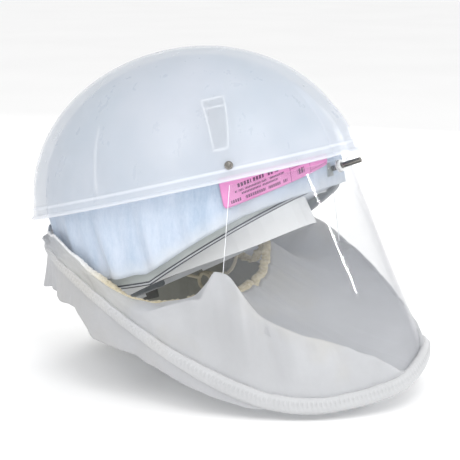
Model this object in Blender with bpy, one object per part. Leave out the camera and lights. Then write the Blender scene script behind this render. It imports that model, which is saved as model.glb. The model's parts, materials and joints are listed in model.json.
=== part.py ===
"""Powered air respirator: a helmet with two fans under a filter and a lift-off cap, a head
suspension with a ratchet, and a clear lens with a fabric cuff.

The helmet frame has +Z up from the plane of the cap's rim, -Y to the front and -X to the
wearer's right. An empty tips it back to the angle at which it sits on an upright head, with
the world origin at the centre of the headband.
"""

import math

import bmesh
import bpy
from mathutils import Matrix, Vector

MM = 0.001
GAP = 0.4 * MM  # between pieces that touch on the real object

# Tilts, in degrees: the helmet on the head, the headband in the helmet, the front post and the
# lens where the post goes through it.
HELMET_PITCH = 14.6
BAND_PITCH = 13.5
POST_PITCH = 5.7
LENS_PITCH = 11.7

# Each dome is a half ellipsoid: half length, half width, height and wall.
CAP = dict(a=147 * MM, b=114 * MM, c=116 * MM, wall=2.0 * MM)
FILTER = dict(a=136 * MM, b=103 * MM, c=109 * MM, wall=3.0 * MM)
BASE = dict(a=131 * MM, b=97 * MM, c=88 * MM, wall=3.0 * MM)
AROUND = 40  # segments round a dome
RISE = 8  # rings from rim to crown
SKIRT_TAPER = 0.045  # how much a skirt narrows at its lowest
CAP_LIP = 3.5 * MM
CAP_LIP_HEIGHT = 2 * MM
PROW_OUT, PROW_HALF, PROW_EDGE, PROW_HEIGHT = 10 * MM, 12 * MM, 3 * MM, 62 * MM

# Where the skirts end, as heights in the helmet frame.
FILTER_LOW, FILTER_HIGH = -62 * MM, -20 * MM
BASE_LOW, BASE_HIGH = -66 * MM, -19 * MM
TRIM_HEIGHT = 3 * MM
HEM_HEIGHT = 4 * MM

# Headband, in its own frame: a half circle behind and a half ellipse in front.
BAND_CENTRE = Vector((0, 0, -54 * MM))
NAPE_RADIUS = 78.4 * MM
NAPE_CENTRE = 19 * MM
BAND_FRONT = 117 * MM
STRAP = 1.4 * MM
PITCH_RADIUS = 6 * MM
PINION_TEETH = 8
KNOB_RADIUS = 18 * MM

# Fans.
FAN_OFFSET = 38 * MM
FAN_RADIUS = 23.8 * MM
FAN_BOTTOM, FAN_TOP = 66 * MM, 91 * MM

# Lens and cuff.
LENS_TOP = dict(a=142 * MM, b=109 * MM, z=-3.5 * MM, half_angle=51)
LENS_LOW_ANGLE = 74
LENS_WALL = 0.9 * MM
RING = dict(middle=14.5 * MM, a=157.5 * MM, b=122 * MM)
RING_BACK, RING_DROP = -23 * MM, 147 * MM
RING_LOWEST_AT = 130 * MM
RING_BAND = (5 * MM, 12 * MM)  # thickness, height
NECK = dict(middle=-48 * MM, a=92 * MM, b=101 * MM)
NECK_BACK, NECK_DROP = -5.5 * MM, 88 * MM
CLOTH = 2 * MM
SPLIT_ANGLE = 80  # where the cuff's front half ends, from the front
SKIRT_DEPTH = 38 * MM

# Power socket and the lead inside the helmet.
SOCKET_AT = Vector((48 * MM, 101.3 * MM, 0))
LEAD_RADIUS = 1.6 * MM
LOOP_AT, LOOP_RADIUS = Vector((66 * MM, 54 * MM, -90.5 * MM)), 7.5 * MM

# Front post.
POST_RADIUS = 2.25 * MM
POST_AT = Vector((0, -143.1 * MM, -9 * MM))  # where it passes through the lens
POST_REAR, POST_FRONT = -7.4 * MM, 19 * MM  # along its axis from there


# ---------------------------------------------------------------- helpers


def clear_scene():
    for obj in list(bpy.data.objects):
        bpy.data.objects.remove(obj)


def material(name, colour, roughness=0.5, metallic=0.0, alpha=1.0):
    mat = bpy.data.materials.get(name)
    if mat is None:
        mat = bpy.data.materials.new(name)
        mat.use_nodes = True
        shader = mat.node_tree.nodes["Principled BSDF"]
        shader.inputs["Base Color"].default_value = (*colour, 1)
        shader.inputs["Roughness"].default_value = roughness
        shader.inputs["Metallic"].default_value = metallic
        shader.inputs["Alpha"].default_value = alpha
    return mat


def cap_plastic():
    return material("cap_plastic", (0.86, 0.88, 0.91), 0.35, alpha=0.6)


def white_plastic():
    return material("white_plastic", (0.85, 0.86, 0.86), 0.45)


def grey_plastic():
    return material("grey_plastic", (0.55, 0.57, 0.58), 0.5)


def dark_plastic():
    return material("dark_plastic", (0.05, 0.05, 0.055), 0.5)


def lead_jacket():
    return material("lead_jacket", (0.6, 0.57, 0.48), 0.6)


def steel():
    return material("steel", (0.62, 0.61, 0.6), 0.2, 1.0)


def filter_media():
    return material("filter_media", (0.66, 0.74, 0.84), 0.9)


def label_film():
    return material("label_film", (0.84, 0.42, 0.66), 0.5)


def clear_film():
    return material("clear_film", (0.95, 0.96, 0.98), 0.05, alpha=0.2)


def cuff_cloth():
    return material("cuff_cloth", (0.78, 0.78, 0.79), 0.9)


def elastic_cord():
    return material("elastic_cord", (0.78, 0.74, 0.64), 0.85)


def foam():
    return material("foam", (0.36, 0.37, 0.38), 0.95)


def finish(obj, mat, parent=None, smooth=True):
    obj.data.materials.append(mat)
    if smooth and obj.type == "MESH":
        obj.data.shade_smooth()
        obj.data.set_sharp_from_angle(angle=math.radians(35))
    obj.parent = parent
    for step in obj.modifiers:
        if step.type == "BOOLEAN":
            step.object.parent = parent
    return obj


def mesh_object(name, bm):
    bmesh.ops.recalc_face_normals(bm, faces=bm.faces)
    mesh = bpy.data.meshes.new(name)
    bm.to_mesh(mesh)
    bm.free()
    obj = bpy.data.objects.new(name, mesh)
    bpy.context.scene.collection.objects.link(obj)
    return obj


def loft(name, rings, round_ring=True, loop=False, poles=False):
    """A closed solid through rings of points. round_ring closes each ring on itself, loop joins
    the last ring to the first, and poles makes the first and last rings single points."""
    bm = bmesh.new()
    rows = [[bm.verts.new(p) for p in ring] for ring in rings]
    pairs = list(zip(rows, rows[1:]))
    if loop:
        pairs.append((rows[-1], rows[0]))
    for low, high in pairs:
        count = max(len(low), len(high))
        for i in range(count if round_ring else count - 1):
            j = (i + 1) % count
            corners = [low[i % len(low)], low[j % len(low)], high[j % len(high)], high[i % len(high)]]
            bm.faces.new(dict.fromkeys(corners))
    if not loop and not poles:
        bm.faces.new(rows[0])
        bm.faces.new(rows[-1])
    return mesh_object(name, bm)


def box(name, centre, size):
    bm = bmesh.new()
    bmesh.ops.create_cube(bm, size=1, matrix=Matrix.LocRotScale(centre, None, Vector(size)))
    return mesh_object(name, bm)


def cylinder(name, start, end, radius, sides=24, end_radius=None):
    start, end = Vector(start), Vector(end)
    turn = (end - start).to_track_quat("Z", "Y").to_matrix().to_4x4()
    bm = bmesh.new()
    bmesh.ops.create_cone(
        bm,
        cap_ends=True,
        segments=sides,
        radius1=radius,
        radius2=radius if end_radius is None else end_radius,
        depth=(end - start).length,
        matrix=Matrix.Translation((start + end) / 2) @ turn,
    )
    return mesh_object(name, bm)


def turned(name, profile, sides=32, loop=True):
    """A solid turned about Z from (radius, height) points; loop is for one with a bore."""
    angles = [2 * math.pi * k / sides for k in range(sides)]
    rings = [
        [(r * math.cos(t), r * math.sin(t), z) for t in angles] if r else [(0, 0, z)]
        for r, z in profile
    ]
    return loft(name, rings, loop=loop, poles=not loop)


def combine(obj, other, operation):
    """Adds a Boolean. The other object is only a tool, so it is kept out of the model."""
    other.parent = obj.parent
    other.hide_render = True
    other.display_type = "WIRE"
    step = obj.modifiers.new(other.name, "BOOLEAN")
    step.object = other
    step.operation = operation
    step.solver = "EXACT"


def smoothstep(x):
    x = min(1.0, max(0.0, x))
    return x * x * (3 - 2 * x)


def mix(a, b, share):
    return a + (b - a) * share


# ---------------------------------------------------------------- domes


def dome_rings(dome, inset, low_edge, skirt_rows, rise=RISE):
    """Rings from the low edge up to the crown of a dome, shrunk by inset. low_edge gives the
    height of the skirt's end for a point's distance forward, or is None for no skirt."""
    a, b, c = (dome[k] - inset for k in "abc")
    angles = [2 * math.pi * k / AROUND for k in range(AROUND)]
    rings = []
    for row in range(skirt_rows, 0, -1):
        share = row / skirt_rows
        ring = []
        for t in angles:
            low = low_edge(a * math.cos(t))
            narrow = 1 - SKIRT_TAPER * share * low / FILTER_LOW
            ring.append((b * narrow * math.sin(t), -a * narrow * math.cos(t), low * share))
        rings.append(ring)
    for row in range(rise):
        q = math.pi / 2 * row / rise
        flat, up = math.cos(q), math.sin(q)
        rings.append([(b * flat * math.sin(t), -a * flat * math.cos(t), c * up) for t in angles])
    rings.append([(0, 0, c)])
    return rings


def shell(name, dome, low_edge=None, skirt_rows=0, edge_rings=()):
    inner = dome_rings(dome, dome["wall"], low_edge, skirt_rows)
    outer = dome_rings(dome, 0, low_edge, skirt_rows)
    return loft(name, inner[::-1] + list(edge_rings) + outer, poles=True)


def filter_edge(forward):
    share = max(0.0, forward / FILTER["a"])
    return mix(FILTER_HIGH, FILTER_LOW, (1 - min(1.0, share)) ** 1.7)


def base_edge(forward):
    return mix(BASE_LOW, BASE_HIGH, min(1.0, max(0.0, forward / BASE["a"])))


def edge_band(name, dome, edge, height):
    """A ring of rectangular section just under the edge of a dome's skirt."""
    wall = dome["wall"]
    section = ((0, -GAP), (wall, -GAP), (wall, -GAP - height), (0, -GAP - height))
    rings = []
    for k in range(AROUND):
        t = 2 * math.pi * k / AROUND
        ring = []
        for inset, drop in section:
            a, b = dome["a"] - inset, dome["b"] - inset
            low = edge(a * math.cos(t))
            narrow = 1 - SKIRT_TAPER * low / FILTER_LOW
            ring.append((b * narrow * math.sin(t), -a * narrow * math.cos(t), low + drop))
        rings.append(ring)
    return loft(name, rings, loop=True)


# ---------------------------------------------------------------- cap


def cap_angles():
    """Even steps round the cap, with closer ones where the prow's flanks turn."""
    angles = [2 * math.pi * k / 36 for k in range(36)]
    turns = (3.2, 4.9, 6.4, 7.6)
    return sorted(angles + [math.radians(t) for t in turns] + [math.radians(360 - t) for t in turns])


def with_prow(ring):
    """Pushes the front of a ring out to the prow, a ridge that fades towards the crown."""
    moved = []
    for x, y, z in ring:
        across = smoothstep((PROW_HALF + PROW_EDGE - abs(x)) / (2 * PROW_EDGE))
        up = smoothstep(1.25 - z / PROW_HEIGHT)
        moved.append((x, y - PROW_OUT * across * up if y < 0 else y, z))
    return moved


def cap_rings(inset):
    """Rings from the rim up to the crown of the cap, shrunk by inset."""
    a, b, c = (CAP[k] - inset for k in "abc")
    rings = []
    for row in range(RISE):
        q = math.pi / 2 * row / RISE
        out, z = math.cos(q), c * math.sin(q)
        rings.append(cap_ring(a * out, b * out, z))
    return rings + [[(0, 0, c)]]


def cap_ring(a, b, z):
    return with_prow([(b * math.sin(t), -a * math.cos(t), z) for t in cap_angles()])


def make_cap(helmet):
    a, b = CAP["a"], CAP["b"]
    lip = [
        cap_ring(a + CAP_LIP, b + CAP_LIP, 0),
        cap_ring(a + CAP_LIP, b + CAP_LIP, CAP_LIP_HEIGHT),
        cap_ring(a + 0.5 * MM, b + 0.5 * MM, 3 * MM),
    ]
    rings = cap_rings(CAP["wall"])[::-1] + lip + cap_rings(0)[1:]
    finish(loft("cap_shell", rings, poles=True), cap_plastic(), helmet)
    for side, sign in (("right", -1), ("left", 1)):
        make_cap_clip(helmet, side, sign)


def cap_wall(angle, height, inset):
    """A point on the cap's wall, inset from its outer face; angle is in degrees from the front."""
    t = math.radians(angle)
    flat = math.sqrt(1 - (height / (CAP["c"] - inset)) ** 2)
    return Vector(
        ((CAP["b"] - inset) * flat * math.sin(t), -(CAP["a"] - inset) * flat * math.cos(t), height)
    )


def make_cap_clip(helmet, side, sign):
    """A tapered leaf inside the cap, riveted at its lower end."""
    near, far = CAP["wall"] + 1.2 * MM, CAP["wall"] + 2.8 * MM
    rows = []
    for k in range(6):
        height = mix(7 * MM, 60 * MM, k / 5)
        half = mix(4.2, 6.8, k / 5)
        front, back = sign * (50 - half), sign * (50 + half)
        rows.append(
            [
                cap_wall(front, height, near),
                cap_wall(back, height, near),
                cap_wall(back, height, far),
                cap_wall(front, height, far),
            ]
        )
    leaf = finish(loft(f"cap_clip_{side}", rows), cap_plastic(), helmet)
    outside = cap_wall(sign * 50, 12 * MM, 0)
    normal = (outside.x / CAP["b"] ** 2, outside.y / CAP["a"] ** 2, outside.z / CAP["c"] ** 2)
    inward = -Vector(normal).normalized()
    ends = (outside - inward * 5 * MM, outside + inward * 9 * MM)
    drill = cylinder(f"clip_hole_{side}", *ends, 2.4 * MM, 16)
    combine(leaf, drill, "DIFFERENCE")
    combine(bpy.data.objects["cap_shell"], drill, "DIFFERENCE")
    profile = (
        (0, 0.2),
        (2.2, 0.5),
        (3.4, 1.5),
        (3.4, 2.2),
        (1.9, 2.2),
        (1.9, 8.2),
        (2.9, 8.2),
        (2.9, 9.2),
        (0, 9.2),
    )
    rivet = turned(f"cap_rivet_{side}", [(r * MM, z * MM) for r, z in profile], 20, loop=False)
    rivet.location = outside - inward * 2.9 * MM
    rivet.rotation_mode = "QUATERNION"
    rivet.rotation_quaternion = inward.to_track_quat("Z", "Y")
    finish(rivet, steel(), helmet)


# ---------------------------------------------------------------- filter


def make_filter(helmet):
    bonnet = shell("filter_bonnet", FILTER, filter_edge, 3)
    finish(bonnet, filter_media(), helmet)
    hem = edge_band("filter_hem", FILTER, filter_edge, HEM_HEIGHT)
    finish(hem, elastic_cord(), helmet)
    notch = box("post_notch", (0, -135 * MM, -23 * MM), (14 * MM, 30 * MM, 40 * MM))
    combine(bonnet, notch, "DIFFERENCE")
    combine(hem, notch, "DIFFERENCE")
    finish(make_label(), label_film(), helmet)


def make_label():
    """A thin label on the right front of the skirt."""
    rows = []
    lift, film = 0.7 * MM, 0.6 * MM
    for k in range(9):
        t = math.radians(mix(-12, -56, k / 8))
        low = filter_edge(FILTER["a"] * math.cos(t))
        bottom, top = low + 3 * MM, -0.5 * MM
        ring = []
        for z, out in ((bottom, lift), (top, lift), (top, lift + film), (bottom, lift + film)):
            narrow = 1 - SKIRT_TAPER * z / FILTER_LOW
            a, b = FILTER["a"] * narrow + out, FILTER["b"] * narrow + out
            ring.append((b * math.sin(t), -a * math.cos(t), z))
        rows.append(ring)
    return loft("filter_label", rows)


# ---------------------------------------------------------------- base and fans


def make_base(helmet):
    base = shell("base_shell", BASE, base_edge, 3)
    finish(base, grey_plastic(), helmet)
    for sign in (-1, 1):
        at = Vector((0, sign * FAN_OFFSET, 0))
        hole = cylinder(
            f"fan_hole_{sign}",
            at + Vector((0, 0, 50 * MM)),
            at + Vector((0, 0, 110 * MM)),
            FAN_RADIUS + GAP,
            32,
        )
        combine(base, hole, "DIFFERENCE")
    trim = edge_band("base_edge_trim", BASE, base_edge, TRIM_HEIGHT)
    finish(trim, dark_plastic(), helmet)


def make_fan(helmet, name, y):
    at = Vector((0, y, 0))
    wall = 1.6 * MM
    tube_profile = (
        (FAN_RADIUS, FAN_BOTTOM),
        (FAN_RADIUS, FAN_TOP),
        (FAN_RADIUS - wall, FAN_TOP),
        (FAN_RADIUS - wall, FAN_BOTTOM),
    )
    housing = turned(f"{name}_fan_housing", tube_profile, 32)
    housing.location = at
    finish(housing, dark_plastic(), helmet)
    span = 2 * FAN_RADIUS - wall
    for k, size in enumerate(((span, 4 * MM, 2 * MM), (4 * MM, span, 2 * MM))):
        spoke = box(f"{name}_spoke_{k}", (0, 0, FAN_BOTTOM + 1.2 * MM), size)
        spoke.location = at
        combine(housing, spoke, "UNION")
    seat = cylinder(
        f"{name}_motor_seat", (0, 0, FAN_BOTTOM + 0.1 * MM), (0, 0, FAN_BOTTOM + 2.5 * MM), 8.5 * MM, 24
    )
    seat.location = at
    combine(housing, seat, "UNION")

    floor = FAN_BOTTOM + 2.5 * MM + GAP
    motor_profile = (
        (0, floor),
        (6.5 * MM, floor),
        (6.5 * MM, floor + 8 * MM),
        (1.0 * MM, floor + 8 * MM),
        (1.0 * MM, floor + 14 * MM),
        (0, floor + 14 * MM),
    )
    motor = turned(f"{name}_fan_motor", motor_profile, 20, loop=False)
    motor.location = at
    finish(motor, steel(), helmet)

    impeller = make_impeller(name, floor)
    impeller.location = at
    for blade in impeller["blades"].split(","):
        bpy.data.objects[blade].location = at
    finish(impeller, grey_plastic(), helmet)

    top = FAN_TOP - 3 * MM
    guard_radius = FAN_RADIUS - wall - GAP
    guard_profile = (
        (guard_radius, top),
        (guard_radius, top + 2 * MM),
        (guard_radius - 2 * MM, top + 2 * MM),
        (guard_radius - 2 * MM, top),
    )
    guard = turned(f"{name}_fan_guard", guard_profile, 32)
    guard.location = at
    finish(guard, dark_plastic(), helmet)
    bar = 2 * guard_radius - 2 * MM
    for k in range(3):
        rod = box(f"{name}_guard_bar_{k}", (0, 0, 0), (bar, 1.4 * MM, 1.2 * MM))
        rod.location = at + Vector((0, 0, top + 1 * MM))
        rod.rotation_euler.z = math.pi * k / 3
        combine(guard, rod, "UNION")


def make_impeller(name, floor):
    """A cup that covers the motor, with seven pitched blades."""
    low, high = floor + 1 * MM, floor + 12 * MM
    hub_profile = (
        (9 * MM, low),
        (9 * MM, high),
        (1.4 * MM, high),
        (1.4 * MM, high - 2 * MM),
        (7.4 * MM, high - 2 * MM),
        (7.4 * MM, low),
    )
    hub = turned(f"{name}_impeller", hub_profile, 28)
    blades = []
    for k in range(7):
        blade = box(f"{name}_blade_{k}", (14.4 * MM, 0, 0), (12.4 * MM, 9 * MM, 1 * MM))
        turn = Matrix.Rotation(math.tau * k / 7, 4, "Z") @ Matrix.Rotation(math.radians(38), 4, "X")
        blade.data.transform(Matrix.Translation((0, 0, (low + high) / 2)) @ turn)
        combine(hub, blade, "UNION")
        blades.append(blade.name)
    hub["blades"] = ",".join(blades)
    return hub


def make_electronics(helmet):
    board = box("control_board", (0, 0, 90.8 * MM), (50 * MM, 21 * MM, 1.6 * MM))
    finish(board, material("circuit_board", (0.05, 0.22, 0.12), 0.4), helmet, smooth=False)
    cover = box("control_cover", (0, 0, 93.7 * MM), (55 * MM, 26 * MM, 10 * MM))
    finish(cover, dark_plastic(), helmet, smooth=False)
    combine(cover, box("cover_hollow", (0, 0, 92.2 * MM), (52 * MM, 23 * MM, 10 * MM)), "DIFFERENCE")
    light = box("status_light", (0, -121 * MM, -12 * MM), (34 * MM, 4 * MM, 7 * MM))
    finish(light, dark_plastic(), helmet, smooth=False)
    make_socket(helmet)


def make_socket(helmet):
    """The power inlet: a round socket that points down, under a plate at the base's left rear."""
    at = SOCKET_AT
    plate = box("socket_plate", at + Vector((2 * MM, -1 * MM, -71.6 * MM)), (18 * MM, 22 * MM, 3 * MM))
    finish(plate, grey_plastic(), helmet, smooth=False)
    profile = ((9, -76.5), (9, -73.6), (6, -73.6), (6, -76.5), (4.6, -79), (4.6, -96), (7, -96), (7, -76.5))
    socket = turned("power_socket", [(r * MM, z * MM) for r, z in profile], 24)
    socket.location = at
    finish(socket, dark_plastic(), helmet)
    core = cylinder("socket_floor", (0, 0, -86 * MM), (0, 0, -75 * MM), 6.4 * MM, 16)
    core.location = at
    combine(socket, core, "UNION")
    ring_profile = ((9.5, -84), (9.5, -80), (7.4, -80), (7.4, -84))
    ring = turned("socket_ring", [(r * MM, z * MM) for r, z in ring_profile], 12)
    ring.location = at
    bore = cylinder("ring_bore", at - Vector((0, 0, 88 * MM)), at - Vector((0, 0, 76 * MM)), 7.5 * MM, 24)
    finish(ring, steel(), helmet, smooth=False)
    combine(ring, bore, "DIFFERENCE")


def make_post(helmet):
    axis = forward_axis(POST_PITCH)
    bracket = box("post_bracket", (0, -132.8 * MM, -10 * MM), (11 * MM, 4.4 * MM, 11 * MM))
    finish(bracket, grey_plastic(), helmet, smooth=False)
    post = cylinder("front_post", POST_AT + axis * POST_REAR, POST_AT + axis * POST_FRONT, POST_RADIUS, 20)
    finish(post, steel(), helmet)


def forward_axis(pitch):
    tilt = math.radians(pitch)
    return Vector((0, -math.cos(tilt), math.sin(tilt)))


# ---------------------------------------------------------------- headband


def band_point(angle, radius):
    """A point of the headband at an angle in degrees from the nape, positive to the wearer's
    left. Behind it runs on a circle; in front on an ellipse of the same width."""
    t = math.radians(angle)
    reach = radius if math.cos(t) >= 0 else BAND_FRONT - NAPE_RADIUS + radius
    return radius * math.sin(t), NAPE_CENTRE + reach * math.cos(t)


def strap_solid(name, spans, inner, outer):
    """A strap of the headband through (angle, low, high) stations."""
    rings = []
    for angle, low, high in spans:
        xi, yi = band_point(angle, inner)
        xo, yo = band_point(angle, outer)
        rings.append([(xi, yi, low), (xo, yo, low), (xo, yo, high), (xi, yi, high)])
    return loft(name, rings)


def even(start, end, count):
    return [mix(start, end, k / (count - 1)) for k in range(count)]


def make_headband(helmet, band):
    low, high = -14 * MM, 16 * MM
    outer = NAPE_RADIUS + 0.6 * MM
    brow = 7 * MM
    spans = [(t, low - brow * smoothstep(1.5 - abs(t - 180) / 60), high) for t in even(60, 300, 33)]
    front = strap_solid("headband_front", spans, outer, outer + 1.6 * MM)
    finish(front, white_plastic(), band)
    spans = [(t, low + 2 * MM, high + 1 * MM) for t in even(115, 245, 19)]
    sweat = strap_solid("sweatband", spans, NAPE_RADIUS - 3.2 * MM, NAPE_RADIUS)
    finish(sweat, foam(), band)
    spans = [(t, -13 * MM, 13 * MM) for t in even(-30, 30, 9)]
    pad = strap_solid("nape_pad", spans, 66 * MM, 73.4 * MM)
    finish(pad, foam(), band)
    make_rack(band, "right", -1)
    make_rack(band, "left", 1)
    make_ratchet(band)
    make_crown_straps(helmet)
    make_hangers(helmet)


def make_rack(band, side, sign):
    """A strap end with teeth along one edge. The right one runs over the pinion, the left one
    under it, so a turn of the knob pulls both round the nape at once."""
    tooth = math.degrees(2 * math.pi * PITCH_RADIUS / PINION_TEETH / NAPE_RADIUS)
    root, tip, far = PITCH_RADIUS + 1.5 * MM, PITCH_RADIUS - 1.1 * MM, PITCH_RADIUS + 6 * MM
    stations = [(-4.4 * tooth, root)]
    for k in range(-4, 4):
        for offset, edge in ((-0.26, root), (-0.11, tip), (0.11, tip), (0.26, root)):
            stations.append(((k + 0.5 + offset) * tooth, edge))
    stations += [(t, root) for t in even(17, 45, 6)]
    stations += [(t, 2 * MM - far) for t in even(47, 86, 8)]
    spans = [(sign * t, *sorted((-sign * edge, -sign * far))) for t, edge in stations]
    rack = strap_solid(f"band_rack_{side}", spans, NAPE_RADIUS - STRAP, NAPE_RADIUS)
    finish(rack, white_plastic(), band)


def make_ratchet(band):
    inner, outer = NAPE_RADIUS - 4.2 * MM, NAPE_RADIUS + 4 * MM
    tall = 15.5 * MM
    housing = strap_solid("ratchet_housing", [(t, -tall, tall) for t in even(-14, 14, 7)], inner, outer)
    finish(housing, white_plastic(), band)
    room = 13.6 * MM
    hollow = strap_solid(
        "ratchet_hollow", [(t, -room, room) for t in even(-17, 17, 7)], inner + 1.8 * MM, outer - 1.8 * MM
    )
    combine(housing, hollow, "DIFFERENCE")
    nape = NAPE_CENTRE + NAPE_RADIUS
    bore = cylinder("knob_bore", (0, nape + 1 * MM, 0), (0, nape + 6 * MM, 0), 3.4 * MM, 20)
    combine(housing, bore, "DIFFERENCE")
    finish(make_pinion(nape), grey_plastic(), band)
    finish(make_knob(NAPE_CENTRE + outer + GAP), dark_plastic(), band)


def make_pinion(nape):
    """Eight straight-sided teeth and a stub shaft that reaches the knob."""
    root, tip = 4.3 * MM, 7.0 * MM
    outline = []
    for k in range(PINION_TEETH):
        centre = 360 / PINION_TEETH * k
        for offset, radius in ((-10, root), (-5, tip), (5, tip), (10, root)):
            t = math.radians(centre + offset)
            outline.append((radius * math.sin(t), radius * math.cos(t)))
    rings = [[(x, y, z) for x, z in outline] for y in (nape - 1.9 * MM, nape + 0.7 * MM)]
    pinion = loft("ratchet_pinion", rings)
    shaft = cylinder("pinion_shaft", (0, nape, 0), (0, nape + 4 * MM, 0), 3 * MM, 20)
    combine(pinion, shaft, "UNION")
    return pinion


def make_knob(start):
    """A fluted knob, turned about Y and bevelled at its face."""
    flutes, depth = 12, 1.4 * MM
    rings = []
    for y, shrink in ((0, 1.0 * MM), (1 * MM, 0), (9 * MM, 0), (11 * MM, 2 * MM)):
        ring = []
        for k in range(flutes * 4):
            t = math.tau * k / (flutes * 4)
            radius = KNOB_RADIUS - shrink - depth * (0.5 - 0.5 * math.cos(t * flutes))
            ring.append((radius * math.sin(t), start + y, radius * math.cos(t)))
        rings.append(ring)
    return loft("ratchet_knob", rings)


def make_crown_straps(helmet):
    """Two straps that cross over the head, the side one on top."""
    side_rows = [side_strap_row(1, -46 * MM)]
    side_rows += [side_strap_row(math.cos(q), side_strap_height(q)) for q in even(0, math.pi, 17)]
    side_rows.append(side_strap_row(-1, -46 * MM))
    long_rows = [long_strap_row(math.radians(q)) for q in even(8, 172, 17)]
    finish(loft("crown_strap_side", side_rows), white_plastic(), helmet)
    finish(loft("crown_strap_long", long_rows), white_plastic(), helmet)


def side_strap_height(q):
    return -32 * MM + 93 * MM * math.sin(q)


def side_strap_row(out, z):
    half, thick = 10 * MM, 1.2 * MM
    x0, x1 = 75 * MM * out, (75 * MM - thick) * out
    z1 = z - thick * math.sqrt(1 - out * out)
    return [(x0, -half, z), (x0, half, z), (x1, half, z1), (x1, -half, z1)]


def long_strap_row(q):
    half, thick = 10 * MM, 1.2 * MM
    (y0, z0), (y1, z1) = (
        ((93 * MM - d) * math.cos(q), (106 * MM - d) * math.sin(q)) for d in (0, thick)
    )
    z0 -= 51 * MM + 0.245 * y0
    z1 -= 51 * MM + 0.245 * y1
    return [(-half, y0, z0), (half, y0, z0), (half, y1, z1), (-half, y1, z1)]


def make_hangers(helmet):
    """Four short arms that hold the headband off the base's inner wall."""
    for place, angle in (("front_right", 215), ("front_left", 145), ("rear_right", 283), ("rear_left", 77)):
        x, y = band_point(angle, NAPE_RADIUS + 2.7 * MM)
        tilt = math.radians(BAND_PITCH)
        start = BAND_CENTRE + Vector((x, y * math.cos(tilt), -y * math.sin(tilt)))
        start.z += 6 * MM
        direction = Vector((start.x / 0.6, start.y, 0)).normalized()
        reach = wall_distance(start, direction) - 1.2 * MM
        arm = box(f"hanger_{place}", (0, 0, 0), (10 * MM, 2.4 * MM, reach))
        arm.location = start + direction * reach / 2
        arm.rotation_mode = "QUATERNION"
        arm.rotation_quaternion = direction.to_track_quat("Z", "Y")
        finish(arm, white_plastic(), helmet, smooth=False)


def wall_distance(start, direction):
    """How far a level ray runs from inside the base to its inner wall."""
    narrow = 1 - SKIRT_TAPER * max(0.0, (start.z - 6 * MM) / FILTER_LOW)
    a, b = (BASE["a"] - BASE["wall"]) * narrow, (BASE["b"] - BASE["wall"]) * narrow
    distance = 0
    while True:
        point = start + direction * distance
        if (point.x / b) ** 2 + (point.y / a) ** 2 >= 1:
            return distance
        distance += 0.1 * MM


# ---------------------------------------------------------------- lens and cuff


def ring_point(angle):
    """The cuff's outer edge; angle is in degrees from the front, positive to the left."""
    t = math.radians(angle)
    forward = RING["middle"] + RING["a"] * math.cos(t)
    back = RING["middle"] - RING["a"]
    z = RING_BACK - RING_DROP * smoothstep((forward - back) / (RING_LOWEST_AT - back))
    z += 4 * MM * max(0.0, (forward - RING_LOWEST_AT) / (40 * MM)) ** 2
    return Vector((RING["b"] * math.sin(t), -forward, z))


def neck_point(angle):
    """The cuff's inner edge, pulled in by elastic under the base and up behind it. Its angles
    run ahead of the outer edge's, so that the sheet between them is drawn straight across."""
    t = math.radians(angle)
    t -= math.radians(20) * math.sin(t)
    forward = NECK["middle"] + NECK["a"] * math.cos(t)
    z = NECK_BACK - NECK_DROP * smoothstep((forward + 110 * MM) / (110 * MM))
    return Vector((NECK["b"] * math.sin(t), -forward, z))


def ring_out(angle):
    """Outward direction of the cuff's edge in plan."""
    t = math.radians(angle)
    return Vector((math.sin(t) / RING["b"], -math.cos(t) / RING["a"], 0)).normalized()


def make_lens(helmet):
    columns, rows = 28, 5
    bm = bmesh.new()
    grid = []
    for i in range(columns + 1):
        share = mix(-1, 1, i / columns)
        t = math.radians(LENS_TOP["half_angle"] * share)
        top = Vector((LENS_TOP["b"] * math.sin(t), -LENS_TOP["a"] * math.cos(t), LENS_TOP["z"]))
        low = ring_point(LENS_LOW_ANGLE * share)
        low.z += RING_BAND[1] / 2 + 1 * MM
        grid.append([bm.verts.new(top.lerp(low, j / rows)) for j in range(rows + 1)])
    for i in range(columns):
        for j in range(rows):
            bm.faces.new((grid[i][j], grid[i + 1][j], grid[i + 1][j + 1], grid[i][j + 1]))
    lens = finish(mesh_object("lens", bm), clear_film(), helmet)
    skin = lens.modifiers.new("thickness", "SOLIDIFY")
    skin.thickness = LENS_WALL
    skin.offset = 0
    axis = forward_axis(LENS_PITCH)
    hole = cylinder("lens_hole", POST_AT - axis * 6 * MM, POST_AT + axis * 6 * MM, 3.7 * MM, 24)
    combine(lens, hole, "DIFFERENCE")

    half = ((2.7, 1.8), (4.9, 1.8), (4.9, 0.9), (3.3, 0.9))
    profile = [(r, -z) for r, z in half] + list(reversed(half))
    grommet = turned("lens_grommet", [(r * MM, z * MM) for r, z in profile], 24)
    grommet.location = POST_AT
    grommet.rotation_mode = "QUATERNION"
    grommet.rotation_quaternion = axis.to_track_quat("Z", "Y")
    finish(grommet, white_plastic(), helmet)


def make_cuff(helmet):
    front = even(-SPLIT_ANGLE, SPLIT_ANGLE, 25)
    rear = even(SPLIT_ANGLE + 0.3, 360 - SPLIT_ANGLE - 0.3, 29)
    for half, angles in (("front", front), ("rear", rear)):
        finish(cuff_ring(f"cuff_ring_{half}", angles), cuff_cloth(), helmet)
        finish(cuff_funnel(f"cuff_funnel_{half}", angles), cuff_cloth(), helmet)
        finish(neck_elastic(f"neck_elastic_{half}", angles), elastic_cord(), helmet)
    finish(cuff_skirt("cuff_skirt", even(82, 278, 27)), cuff_cloth(), helmet)


def cuff_ring(name, angles):
    thick, tall = RING_BAND
    rings = []
    for angle in angles:
        at, out = ring_point(angle), ring_out(angle)
        half = out * thick / 2
        up = Vector((0, 0, tall / 2))
        rings.append([at - half - up, at + half - up, at + half + up, at - half + up])
    return loft(name, rings)


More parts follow.
